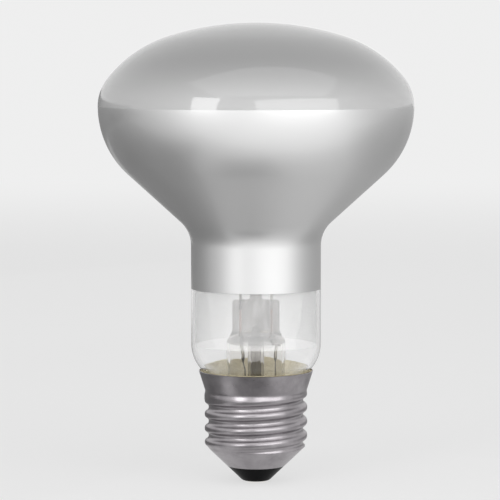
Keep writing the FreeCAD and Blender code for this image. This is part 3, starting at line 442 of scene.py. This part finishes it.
CONE_TURN, TAPER_TURN = math.radians(CONE_ANGLE), math.radians(TAPER_ANGLE)
THROAT_HEIGHT = (
    SEAM_HEIGHT - BELLY_RADIUS * math.sin(CONE_TURN)
    - (BULB_RADIUS - BELLY_RADIUS * (1 - math.cos(CONE_TURN)) - NECK_RADIUS) / math.tan(CONE_TURN)
    - THROAT_BEND * math.tan(CONE_TURN / 2)
)
TAPER_TOP = (
    NECK_RADIUS - SHOULDER_BEND + SHOULDER_BEND * math.cos(TAPER_TURN),
    SHOULDER_HEIGHT - SHOULDER_BEND * math.sin(TAPER_TURN),
)
SEAL_HEIGHT = (
    TAPER_TOP[1] - SEAL_BEND * math.sin(TAPER_TURN)
    - (TAPER_TOP[0] - SEAL_RADIUS - SEAL_BEND * (1 - math.cos(TAPER_TURN))) / math.tan(TAPER_TURN)
)


def cone_rows(depth):
    """From the throat up the cone and the belly to the seam."""
    throat = arc((NECK_RADIUS + THROAT_BEND, THROAT_HEIGHT), THROAT_BEND + depth, 180, 180 - CONE_ANGLE, 10)
    belly_centre = (BULB_RADIUS - BELLY_RADIUS, SEAM_HEIGHT)
    belly_start = arc(belly_centre, BELLY_RADIUS - depth, 0, -CONE_ANGLE, 1)[0]
    belly = arc(belly_centre, BELLY_RADIUS - depth, -CONE_ANGLE, 0, 16)
    return [(NECK_RADIUS - depth, THROAT_HEIGHT)] + throat + line(throat[-1], belly_start, 6) + belly


def dome_rows():
    """From the seam over three tangent arcs up to the last ring before the crown."""
    last_ring = 89.4
    across, rise = BULB_RADIUS - CORNER_RADIUS, CROWN_RADIUS - CROWN_RISE
    span = math.hypot(across, rise)
    first, second = CROWN_RADIUS - BROW_RADIUS, BROW_RADIUS - CORNER_RADIUS
    lean = math.atan2(across, rise) - math.acos((first ** 2 + span ** 2 - second ** 2) / (2 * first * span))
    crown_centre = (0.0, SEAM_HEIGHT - rise)
    brow_centre = (first * math.sin(lean), crown_centre[1] + first * math.cos(lean))
    turn = math.degrees(math.atan2(SEAM_HEIGHT - brow_centre[1], across - brow_centre[0]))
    corner = arc((across, SEAM_HEIGHT), CORNER_RADIUS, 0, turn, 8)
    brow = arc(brow_centre, BROW_RADIUS, turn, 90 - math.degrees(lean), 14)
    crown = arc(crown_centre, CROWN_RADIUS, 90 - math.degrees(lean), last_ring, 12)
    return corner + brow + crown


def blown_bulb():
    """The bulb down to the mirror's edge, in one wall: etched dome and silvered cone."""
    rows = [(NECK_RADIUS, MIRROR_EDGE), (NECK_RADIUS, NECK_ROW_HIGH)] + cone_rows(0.0) + dome_rows()
    piece = start_ring("blown_bulb", *rows[0], ROUND_STEPS)
    draw_rows(rows)
    close_pole()
    finished(piece)
    lift_pole(piece, SEAM_HEIGHT + CROWN_RISE)
    walled(piece, GLASS_WALL)
    wear(piece, ETCHED_DOME, SILVERED)
    paint_below(piece, SEAM_HEIGHT, 1)
    placed(piece, "glass_envelope")


def clear_neck():
    """The bare glass below the mirror's edge. Clear glass hardly shades what is in it, so it casts no
    shadow."""
    rows = [(SEAL_RADIUS, NECK_END), (SEAL_RADIUS, SEAL_HEIGHT)]
    rows += arc((SEAL_RADIUS + SEAL_BEND, SEAL_HEIGHT), SEAL_BEND, 180, 180 - TAPER_ANGLE, 6) + [TAPER_TOP]
    rows += arc((NECK_RADIUS - SHOULDER_BEND, SHOULDER_HEIGHT), SHOULDER_BEND, -TAPER_ANGLE, 0, 10)
    rows += [(NECK_RADIUS, NECK_ROW_LOW), (NECK_RADIUS, MIRROR_EDGE)]
    piece = start_ring("clear_neck", *rows[0], ROUND_STEPS)
    draw_rows(rows)
    finished(piece)
    walled(piece, GLASS_WALL)
    wear(piece, CLEAR_NECK)
    piece.visible_shadow = False
    placed(piece, "glass_envelope")


def mirror_film():
    """The film on the inside of the glass, opaque down to its edge and see-through below it."""
    depth = GLASS_WALL + FILM_GAP
    rows = [(NECK_RADIUS - depth, height) for height in (BAND_EDGE, MIRROR_EDGE, NECK_ROW_HIGH)]
    rows += cone_rows(depth)
    piece = start_ring("mirror_film", *rows[0], ROUND_STEPS)
    draw_rows(rows)
    finished(piece)
    walled(piece, FILM_WALL)
    wear(piece, INNER_MIRROR, THIN_FILM)
    paint_below(piece, MIRROR_EDGE, 1)
    piece.visible_shadow = False
    placed(piece, "mirror_coat")


# Rolled shell, with the black glass cone in its foot

LIP_RADIUS, LIP_HEIGHT = 7.45, 4.05
HEEL_ANGLE = 46.0
CREST_RADIUS, ROOT_RADIUS, PITCH = 13.15, 12.05, 3.629
THREAD_START, THREAD_TURNS, THREAD_RUNOUT = 6.34, 4.0, 0.5
THREAD_END = 22.3
WAIST_RADIUS, WAIST_HEIGHT = 12.9, 23.2
RIM_RADIUS, RIM_HEIGHT = 14.55, 28.4
SKIRT_SLOPE = 0.317
CAP_WALL = 0.25
HEEL_ROUNDING, WAIST_ROUNDING, HEEL_TOP = 0.7, 0.35, 12.0
CREST_BLEND, RUNOUT_LIFT = 0.25, 0.3
VITRITE_BASE, VITRITE_BEND, VITRITE_TOP = 0.15, 1.5, 7.6
VITRITE_HOLE, VITRITE_WELL = 0.7, 1.2
FLANK_GAP, SEAT_GAP = 0.03, 0.02
EYELET_RADIUS, EYELET_TOP = 2.4, 0.5


def blank_radius(height):
    """The shell's outer radius before its thread is rolled, with its bends rounded by a running mean."""
    over = 2.0
    slope = math.tan(math.radians(HEEL_ANGLE))
    corners = [
        (LIP_HEIGHT - over, LIP_RADIUS - over * slope),
        (LIP_HEIGHT + (CREST_RADIUS - LIP_RADIUS) / slope, CREST_RADIUS),
        (THREAD_END, CREST_RADIUS), (WAIST_HEIGHT, WAIST_RADIUS),
        (RIM_HEIGHT + over, RIM_RADIUS + over * SKIRT_SLOPE),
    ]

    def at(place):
        for (low, start), (high, end) in zip(corners, corners[1:]):
            if place <= high:
                return start + (end - start) * (place - low) / (high - low)
        return corners[-1][1]

    reach = HEEL_ROUNDING if height < HEEL_TOP else WAIST_ROUNDING
    return sum(at(height + reach * step / 4) for step in range(-4, 5)) / 9


def thread_radius(angle, height):
    """The rolled wave: arcs of one radius that meet half way up, on a right-handed helix that fades at its
    top."""
    depth = CREST_RADIUS - ROOT_RADIUS
    bend = (PITCH ** 2 / 4 + depth ** 2) / (4 * depth)
    share = (angle / (2 * math.pi)) % 1.0
    turn = round((height - THREAD_START) / PITCH - share) + share
    reach = abs(height - THREAD_START - PITCH * turn)
    if reach <= PITCH / 4:
        radius = ROOT_RADIUS + bend - math.sqrt(bend ** 2 - reach ** 2)
    else:
        radius = CREST_RADIUS - bend + math.sqrt(bend ** 2 - (PITCH / 2 - reach) ** 2)
    fade = max((turn - THREAD_TURNS) / THREAD_RUNOUT, 0.0)
    return radius + (depth + RUNOUT_LIFT) * fade ** 2


def shell_heights():
    """The rows of the shell: wide in the heel, a share of the pitch in the thread, and wide in the skirt."""
    heel_row, heel_rows, thread_row, thread_stop, skirt_rows = 0.35, 8, PITCH / 18, 24.2, 14
    heights = [LIP_HEIGHT + heel_row * step for step in range(heel_rows)]
    while heights[-1] < thread_stop:
        heights.append(heights[-1] + thread_row)
    top = heights[-1]
    return heights + [top + (RIM_HEIGHT - top) * step / skirt_rows for step in range(1, skirt_rows + 1)]


def rolled_shell():
    """The shell, drawn up from its lip and then rolled into a thread, with the same wall all over."""
    rows = [(blank_radius(height), height) for height in shell_heights()]
    piece = start_ring("rolled_shell", *rows[0], SHELL_STEPS)
    draw_rows(rows)
    finished(piece, 60)
    for vertex in piece.data.vertices:
        height = vertex.co.z / MM
        angle = math.atan2(vertex.co.y, vertex.co.x)
        plain, wave = blank_radius(height), thread_radius(angle, height)
        blend = max(CREST_BLEND - abs(plain - wave), 0.0)
        radius = min(plain, wave) - blend ** 2 / (4 * CREST_BLEND)
        vertex.co.x, vertex.co.y = radius * MM * math.cos(angle), radius * MM * math.sin(angle)
    walled(piece, CAP_WALL, 60)
    wear(piece, CAP_METAL)
    placed(piece, "screw_shell")


def vitrite_cone():
    """The insulator, a hair inside the lip, with its hollow top, its hole and the step for the eyelet."""
    lean = math.radians(HEEL_ANGLE)
    foot = LIP_RADIUS - (LIP_HEIGHT - VITRITE_BASE) * math.tan(lean)
    bend_start = foot - VITRITE_BEND * math.tan(math.radians(45) - lean / 2)
    seat_top = LIP_HEIGHT + CAP_WALL * math.sin(lean)
    seat = LIP_RADIUS - CAP_WALL * math.cos(lean) - SEAT_GAP
    rows = [(EYELET_RADIUS, VITRITE_BASE), (bend_start, VITRITE_BASE)]
    rows += arc((bend_start, VITRITE_BASE + VITRITE_BEND), VITRITE_BEND, -90, -HEEL_ANGLE, 8)
    rows += line(rows[-1], (LIP_RADIUS - FLANK_GAP, LIP_HEIGHT), 4)
    rows += [(seat, seat_top), (seat + (VITRITE_TOP - seat_top) * math.tan(lean), VITRITE_TOP)]
    rows += [(VITRITE_HOLE, VITRITE_TOP - VITRITE_WELL), (VITRITE_HOLE, EYELET_TOP)]
    rows += [(EYELET_RADIUS, EYELET_TOP), rows[0]]
    piece = start_ring("vitrite_cone", *rows[0], ROUND_STEPS)
    draw_rows(rows)
    finished(piece, 30)
    wear(piece, BLACK_GLASS)
    placed(piece, "insulator")


# Stem glass: flare, tube, press and exhaust tube melted together, and the rod on top

STEM_RADIUS, STEM_WALL = 7.5, 0.8
STEM_TOP, PRESS_FOOT, PRESS_TOP = 35.4, 39.0, 46.5
PRESS_WIDTH, PRESS_DEPTH, PRESS_EDGE = 12.0, 3.6, 0.8
PRESS_SQUARENESS, PRESS_CAP_SHARE = 3, 0.3
FLARE_RADIUS, FLARE_BEND = 10.0, 3.5
EXHAUST_RADIUS, EXHAUST_BORE, EXHAUST_TIP = 2.1, 1.2, 12.4
BORE_TOP = 38.6
VAULT = [(STEM_RADIUS - STEM_WALL, STEM_TOP), (5.6, 36.3), (2.9, 37.2), (2.3, 37.1), (EXHAUST_RADIUS, 36.8)]
ROD_RADIUS, ROD_FILLET = 1.5, 0.8
BUTTON_RADIUS, BUTTON_TOP, BUTTON_HEIGHT = 2.6, 69.0, 3.0
BUTTON_EDGE, BUTTON_SIDE = 1.2, 0.6


def pinched(angle, share, inset):
    """A point of the tube's section on its way from a circle, at a share of 0, to the press's slot, at 1."""
    half_depth = PRESS_DEPTH / 2 - inset
    spread = math.tanh(PRESS_SQUARENESS * math.cos(angle)) / math.tanh(PRESS_SQUARENESS)
    flat = spread * (PRESS_WIDTH - PRESS_DEPTH) / 2
    slot = (flat + half_depth * math.cos(angle), half_depth * math.sin(angle))
    tube = (STEM_RADIUS * math.cos(angle), STEM_RADIUS * math.sin(angle))
    return [round_way + (flat_way - round_way) * share for round_way, flat_way in zip(tube, slot)]


def pinch_press(piece):
    """Moves the drawn tube's upper part into the press, with its top edge rounded."""
    for vertex in piece.data.vertices:
        height = vertex.co.z / MM
        if height <= STEM_TOP + 0.01:
            continue
        angle = math.atan2(vertex.co.y, vertex.co.x)
        reach = math.hypot(vertex.co.x, vertex.co.y) / (STEM_RADIUS * MM)
        share = min((height - STEM_TOP) / (PRESS_FOOT - STEM_TOP), 1.0)
        share = share * share * (3 - 2 * share)
        rise = min(max((height - PRESS_TOP + PRESS_EDGE) / PRESS_EDGE, 0.0), 1.0)
        inset = PRESS_EDGE * (1 - math.sqrt(1 - rise ** 2))
        x_way, y_way = pinched(angle, share, inset)
        vertex.co.x, vertex.co.y = x_way * reach * MM, y_way * reach * MM


def select_edges_below(piece, height):
    """Opens a piece for editing with only its edges below a height selected."""
    alone(piece)
    bpy.ops.object.mode_set(mode="EDIT")
    bpy.ops.mesh.select_all(action="DESELECT")
    bpy.ops.object.mode_set(mode="OBJECT")
    for edge in piece.data.edges:
        edge.select = all(piece.data.vertices[end].co.z < height for end in edge.vertices)
    bpy.ops.object.mode_set(mode="EDIT")


def melted_stem():
    """The stem's glass as one body: outside up from the flare's rim over the press, and inside up its throat
    and down round the exhaust tube."""
    flare_reach = STEM_RADIUS + FLARE_BEND - FLARE_RADIUS
    inner_bend = FLARE_BEND + STEM_WALL
    flare_centre = (STEM_RADIUS + FLARE_BEND, NECK_END + math.sqrt(inner_bend ** 2 - flare_reach ** 2))
    first = math.acos(flare_reach / FLARE_BEND)
    rim = (FLARE_RADIUS, flare_centre[1] - FLARE_BEND * math.sin(first))
    rows = [rim] + arc(flare_centre, FLARE_BEND, 180 + math.degrees(first), 180, 6)
    for top, steps in ((STEM_TOP, 4), (PRESS_FOOT, 12), (PRESS_TOP - PRESS_EDGE, 4)):
        rows += line((STEM_RADIUS, rows[-1][1]), (STEM_RADIUS, top), steps)
    rows += [(STEM_RADIUS, height) for _, height in arc((0, PRESS_TOP - PRESS_EDGE), PRESS_EDGE, 0, 90, 6)]
    piece = start_ring("melted_stem", *rim, STEM_STEPS)
    draw_rows(rows)
    bpy.ops.mesh.extrude_edges_move(TRANSFORM_OT_translate={"value": (0, 0, 0)})
    bpy.ops.transform.resize(
        value=(PRESS_CAP_SHARE, PRESS_CAP_SHARE, 1), center_override=(0, 0, PRESS_TOP * MM))
    close_pole()
    bpy.ops.object.mode_set(mode="OBJECT")
    pinch_press(piece)
    select_edges_below(piece, (rim[1] + 0.01) * MM)
    inner_first = 180 + math.degrees(math.acos(flare_reach / inner_bend))
    tip = (0, EXHAUST_TIP + EXHAUST_RADIUS)
    inside = [rim, (FLARE_RADIUS, NECK_END)] + arc(flare_centre, inner_bend, inner_first, 180, 6) + VAULT
    inside += [(EXHAUST_RADIUS, tip[1])] + arc(tip, EXHAUST_RADIUS, 0, -85, 6)
    draw_rows(inside)
    close_pole()
    finished(piece, 50)
    wear(piece, STEM_GLASS)
    return piece


def exhaust_bore():
    """The hollow of the exhaust tube, whose faces look inwards."""
    rows = arc((0, EXHAUST_TIP + EXHAUST_RADIUS), EXHAUST_BORE, -80, 0, 5)
    rows += [(EXHAUST_BORE, BORE_TOP)] + arc((0, BORE_TOP), EXHAUST_BORE, 0, 80, 5)
    piece = start_ring("exhaust_bore", *rows[0], ROD_STEPS)
    draw_rows(rows)
    close_pole()
    bpy.ops.object.mode_set(mode="OBJECT")
    select_edges_below(piece, min(vertex.co.z for vertex in piece.data.vertices) + 1e-6)
    close_pole()
    bpy.ops.mesh.select_all(action="SELECT")
    bpy.ops.mesh.remove_doubles(threshold=SAME_SPOT)
    bpy.ops.mesh.normals_make_consistent(inside=True)
    bpy.ops.object.mode_set(mode="OBJECT")
    alone(piece)
    bpy.ops.object.shade_smooth()
    wear(piece, STEM_GLASS)
    return piece


def glass_rod():
    """The rod that rises from the press, with its rounded button."""
    edge = BUTTON_RADIUS - BUTTON_EDGE
    rows = [(ROD_RADIUS + ROD_FILLET, PRESS_TOP)]
    rows += arc((ROD_RADIUS + ROD_FILLET, PRESS_TOP + ROD_FILLET), ROD_FILLET, 270, 180, 5)
    rows += [(ROD_RADIUS, BUTTON_TOP - BUTTON_HEIGHT)]
    rows += arc((edge, BUTTON_TOP - BUTTON_EDGE - BUTTON_SIDE), BUTTON_EDGE, -60, 0, 4)
    rows += arc((edge, BUTTON_TOP - BUTTON_EDGE), BUTTON_EDGE, 0, 88, 5)
    piece = start_ring("glass_rod", *rows[0], ROD_STEPS)
    draw_rows(rows)
    close_pole()
    finished(piece, 50)
    wear(piece, STEM_GLASS)
    placed(piece, "support_rod")


def stem_glass():
    """The stem with its bore, joined, and the rod on it."""
    stem, bore = melted_stem(), exhaust_bore()
    alone(stem)
    bore.select_set(True)
    bpy.ops.object.join()
    stem.visible_shadow = False
    glass_rod()
    placed(stem, "flare_tube", "exhaust_tube")


# Coiled filament

RING_RADIUS, FILAMENT_HEIGHT = 11.0, 77.0
FILAMENT_START, FILAMENT_SWEEP = 10.0, -200.0
COIL_RADIUS, COIL_WIRE, COIL_PITCH, POINTS_A_TURN = 0.39, 0.06, 0.32, 10


def coiled_filament():
    """Fine wire wound into a coil and bent into most of a ring."""
    first, sweep = math.radians(FILAMENT_START), math.radians(FILAMENT_SWEEP)
    turns = abs(sweep) * RING_RADIUS / COIL_PITCH
    count = int(turns * POINTS_A_TURN)
    wire = bpy.data.curves.new("coiled_filament", "CURVE")
    wire.dimensions = "3D"
    wire.bevel_depth = COIL_WIRE * MM
    wire.bevel_resolution = 1
    spline = wire.splines.new("POLY")
    spline.points.add(count)
    for step in range(count + 1):
        along = first + sweep * step / count
        wind = 2 * math.pi * turns * step / count
        radius = (RING_RADIUS + COIL_RADIUS * math.cos(wind)) * MM
        height = (FILAMENT_HEIGHT + COIL_RADIUS * math.sin(wind)) * MM
        spline.points[step].co = (radius * math.cos(along), radius * math.sin(along), height, 1.0)
    piece = bpy.data.objects.new("coiled_filament", wire)
    bpy.context.scene.collection.objects.link(piece)
    alone(piece)
    bpy.ops.object.convert(target="MESH")
    piece = bpy.context.object
    bpy.ops.object.shade_smooth()
    wear(piece, TUNGSTEN)
    placed(piece, "filament")


# Cement that was squeezed out between the neck and the rim

BEAD_RADIUS, BEAD_HALF, BEAD_HEIGHT = 14.0, 0.3, 28.45
BEAD_LIFT, BACK_LIFT = 0.05, 0.3
BEAD_DEPTH_SHARE, BEAD_HEIGHT_SHARE = 0.6, 1.7
THIN_SIZE, LEAST_SIZE, BACK_SIZE = 0.25, 0.2, 1.05
BEAD_INSIDE, BEAD_MIDDLE, BEAD_OUTSIDE = 0.03, 0.12, 0.5
LUMPS = (0.9, 5.0, 0.3), (0.35, 17.0, 0.9)


def cement_crumbs():
    """An uneven bead on the taper of the glass, thickest at the back. Each of its two kinds of lump has a
    strength, a fineness and a level in the noise."""
    bpy.ops.object.select_all(action="DESELECT")
    bpy.ops.mesh.primitive_torus_add(
        major_radius=BEAD_RADIUS * MM, minor_radius=BEAD_HALF * MM, major_segments=180, minor_segments=12,
        location=(0, 0, BEAD_HEIGHT * MM))
    piece = bpy.context.object
    piece.name = "cement_crumbs"
    bpy.ops.object.transform_apply(location=True, rotation=False, scale=False)
    for vertex in piece.data.vertices:
        angle = math.atan2(vertex.co.y, vertex.co.x)
        swell = BACK_SIZE
        for strength, fineness, level in LUMPS:
            swell += strength * noise.noise(Vector((math.cos(angle), math.sin(angle), level)) * fineness)
        back = max(math.sin(angle), 0.0) ** 3
        size = max(THIN_SIZE + swell * back, LEAST_SIZE)
        across = (math.hypot(vertex.co.x, vertex.co.y) / MM - BEAD_RADIUS) * size * BEAD_DEPTH_SHARE
        rise = (vertex.co.z / MM - BEAD_HEIGHT) * size * BEAD_HEIGHT_SHARE
        height = BEAD_HEIGHT + BEAD_LIFT + rise + BACK_LIFT * back
        wall = TAPER_TOP[0] - (TAPER_TOP[1] - height) * math.tan(TAPER_TURN)
        radius = wall + min(max(BEAD_MIDDLE + across, BEAD_INSIDE), BEAD_OUTSIDE)
        vertex.co = Vector((radius * math.cos(angle), radius * math.sin(angle), height)) * MM
    alone(piece)
    bpy.ops.object.mode_set(mode="EDIT")
    finished(piece)
    wear(piece, CEMENT)
    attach(piece, "root")


def dressed_lamp():
    """All pieces of the lamp. What keeps the shape of its solid is a smooth copy of it."""
    blown_bulb()
    clear_neck()
    mirror_film()
    rolled_shell()
    coiled_filament()
    cement_crumbs()
    stem_glass()
    for side in ("left", "right"):
        smooth_copy("inner_lead_" + side, "filament_lead_" + side, NICKEL)
        smooth_copy("dumet_wire_" + side, "press_seal_" + side, COPPER_CLAD)
        smooth_copy("outer_lead_" + side, "stem_lead_" + side, NICKEL)
    for side in ("left", "middle", "right"):
        smooth_copy("filament_hook_" + side, "wire_hook_" + side, MOLYBDENUM)
    smooth_copy("contact_wire_centre", "centre_fuse_wire", FUSE_WIRE)
    smooth_copy("contact_wire_side", "side_fuse_wire", FUSE_WIRE)
    vitrite_cone()
    smooth_copy("contact_eyelet", "brass_eyelet", BRASS)
    smooth_copy("contact_solder", "centre_solder", SOLDER)
    smooth_copy("side_solder", "rim_solder", SOLDER)
    smooth_copy("basing_cement", "cement_ring", CEMENT)


dressed_lamp()

# Studio, in metres and degrees: pale floor and backdrop, three softboxes, cards for the reflections

BACKDROP_LEVEL, ROOM_LEVEL = 0.9, 0.3
FLOOR_RADIUS, FLOOR_DROP, CURVE_STEPS, CURVE_RISE, CURVE_REACH = 1.5, 0.0002, 9, 0.07, 0.04
FADE_START, FADE_END, FLOOR_GLOW = 0.6, 1.45, 0.75
CARD_LIFT = 0.0005
LAMP_AIM = Vector((0, 0, 0.075))


def seen_directly(tree):
    """1 for what the camera sees, straight on, in a polished surface or through glass."""
    path = add(tree, "ShaderNodeLightPath", {})
    straight = add(tree, "ShaderNodeMath", {"operation": "MAXIMUM"}, {
        0: path.outputs["Is Camera Ray"], 1: path.outputs["Is Glossy Ray"]})
    return add(tree, "ShaderNodeMath", {"operation": "MAXIMUM"}, {
        0: straight.outputs[0], 1: path.outputs["Is Transmission Ray"]}).outputs[0]


def floor_paper():
    """Matt paper that keeps its shadows and looks as bright as the backdrop, into which it runs far out."""
    tint = linear("fafafa")
    made, tree, output = material("floor_paper")
    spot = add(tree, "ShaderNodeTexCoord", {})
    reach = add(tree, "ShaderNodeVectorMath", {"operation": "LENGTH"}, {0: spot.outputs["Object"]})
    evenness = add(tree, "ShaderNodeMapRange", {
        "From Min": FADE_START, "From Max": FADE_END, "To Min": FLOOR_GLOW, "To Max": 1.0,
        "interpolation_type": "SMOOTHSTEP",
    }, {"Value": reach.outputs["Value"]})
    share = add(tree, "ShaderNodeMath", {"operation": "MULTIPLY"}, {
        0: seen_directly(tree), 1: evenness.outputs["Result"]})
    matt = add(tree, "ShaderNodeBsdfPrincipled", {"Base Color": tint, "Roughness": 0.9})
    pale = add(tree, "ShaderNodeEmission", {"Color": tint, "Strength": BACKDROP_LEVEL})
    mixed = add(tree, "ShaderNodeMixShader", {}, {
        0: share.outputs[0], 1: matt.outputs[0], 2: pale.outputs[0]})
    tree.links.new(mixed.outputs[0], output.inputs["Surface"])
    return made


def studio_floor():
    """A round sheet of pale paper whose rim curves up into the backdrop."""
    bpy.ops.object.select_all(action="DESELECT")
    bpy.ops.mesh.primitive_circle_add(
        vertices=96, radius=FLOOR_RADIUS, fill_type="NGON", location=(0, 0, -FLOOR_DROP))
    floor = bpy.context.object
    floor.name = "studio_floor"
    bpy.ops.object.mode_set(mode="EDIT")
    bpy.ops.mesh.select_mode(type="EDGE")
    bpy.ops.mesh.select_all(action="DESELECT")
    bpy.ops.mesh.select_non_manifold()
    for step in range(1, CURVE_STEPS + 1):
        lift = math.radians(90 * step / CURVE_STEPS)
        rise, wider = CURVE_RISE * math.sin(lift), 1 + CURVE_REACH * math.cos(lift)
        bpy.ops.mesh.extrude_edges_move(TRANSFORM_OT_translate={"value": (0, 0, rise)})
        bpy.ops.transform.resize(value=(wider, wider, 1), center_override=(0, 0, 0))
    bpy.ops.object.mode_set(mode="OBJECT")
    bpy.ops.object.shade_smooth()
    wear(floor, floor_paper())


def softbox(name, azimuth, elevation, distance, width, height, watts):
    """A lamp that faces the bulb, seen from the front at an azimuth to the right of the camera."""
    lamp = bpy.data.lights.new(name, "AREA")
    lamp.shape = "RECTANGLE"
    lamp.size, lamp.size_y = width, height
    lamp.energy = watts
    holder = bpy.data.objects.new(name, lamp)
    bpy.context.scene.collection.objects.link(holder)
    turn, lift = math.radians(azimuth), math.radians(elevation)
    away = Vector((math.sin(turn) * math.cos(lift), -math.cos(turn) * math.cos(lift), math.sin(lift)))
    holder.location = LAMP_AIM + away * distance
    holder.rotation_euler = (-away).to_track_quat("-Z", "Y").to_euler()


def leaning_card(name, azimuth, near, far, top, width, level):
    """A card that leans away from the bulb, from the floor near its foot to a top edge further out. Only
    polished surfaces see it: the grey ones give them darker sides and the white one a bright front."""
    bpy.ops.object.select_all(action="DESELECT")
    bpy.ops.mesh.primitive_plane_add(size=1)
    card = bpy.context.object
    card.name = name
    turn, middle = math.radians(azimuth), (near + far) / 2
    card.scale = (width, math.hypot(far - near, top), 1)
    card.location = (math.sin(turn) * middle, -math.cos(turn) * middle, top / 2 + CARD_LIFT)
    card.rotation_euler = (math.atan2(top, far - near), 0, turn + math.pi)
    made, tree, output = material(name)
    shade = add(tree, "ShaderNodeEmission", {"Color": linear("ffffff"), "Strength": level})
    tree.links.new(shade.outputs[0], output.inputs["Surface"])
    wear(card, made)
    card.visible_camera = card.visible_diffuse = card.visible_transmission = card.visible_shadow = False


def studio_air():
    """A plain level of light from all round, with a paler backdrop for what is seen directly."""
    world = bpy.data.worlds.new("studio_air")
    bpy.context.scene.world = world
    world.use_nodes = True
    tree = world.node_tree
    tree.nodes.clear()
    output = tree.nodes.new("ShaderNodeOutputWorld")
    level = add(tree, "ShaderNodeMapRange", {"To Min": ROOM_LEVEL, "To Max": BACKDROP_LEVEL}, {
        "Value": seen_directly(tree)})
    air = add(tree, "ShaderNodeBackground", {"Color": linear("ffffff")}, {
        "Strength": level.outputs["Result"]})
    tree.links.new(air.outputs[0], output.inputs["Surface"])


def photograph_camera():
    """The view of the photograph, whose frame is 500 by 500 pixels."""
    frame_pixels = 500
    bulb_axis_x, tip_y = 256.0, 483.5
    pixel_size = 0.2532 * MM
    distance, eye_height, sensor = 0.66, 0.112, 36.0
    camera = bpy.data.cameras.new("photograph")
    camera.sensor_width = sensor
    camera.lens = sensor * distance / (frame_pixels * pixel_size)
    camera.clip_start, camera.clip_end = 0.05, 20
    holder = bpy.data.objects.new("photograph", camera)
    bpy.context.scene.collection.objects.link(holder)
    across, up = (frame_pixels / 2 - bulb_axis_x) * pixel_size, (tip_y - frame_pixels / 2) * pixel_size
    middle = Vector((across, 0, up))
    holder.location = Vector((across, -distance, eye_height))
    holder.rotation_euler = (middle - holder.location).to_track_quat("-Z", "Y").to_euler()
    bpy.context.scene.camera = holder


studio_floor()
softbox("left_softbox", azimuth=-37, elevation=14, distance=1.0, width=0.34, height=0.48, watts=2.2)
softbox("right_softbox", azimuth=30, elevation=9, distance=1.0, width=1.15, height=0.6, watts=4.6)
softbox("top_softbox", azimuth=12, elevation=62, distance=1.5, width=2.4, height=1.6, watts=9)
leaning_card("left_low_card", azimuth=-120, near=0.033, far=0.35, top=0.02, width=0.3, level=0.27)
leaning_card("front_low_card", azimuth=-8, near=0.03, far=0.078, top=0.003, width=0.055, level=0.3)
leaning_card("left_card", azimuth=-135, near=0.5, far=0.9, top=0.15, width=1.1, level=0.2)
leaning_card("right_card", azimuth=140, near=0.07, far=0.9, top=0.1, width=0.5, level=0.45)
leaning_card("front_card", azimuth=18, near=0.1, far=0.9, top=0.05, width=0.8, level=1.35)
studio_air()
photograph_camera()
bpy.context.scene.view_settings.view_transform = "Standard"
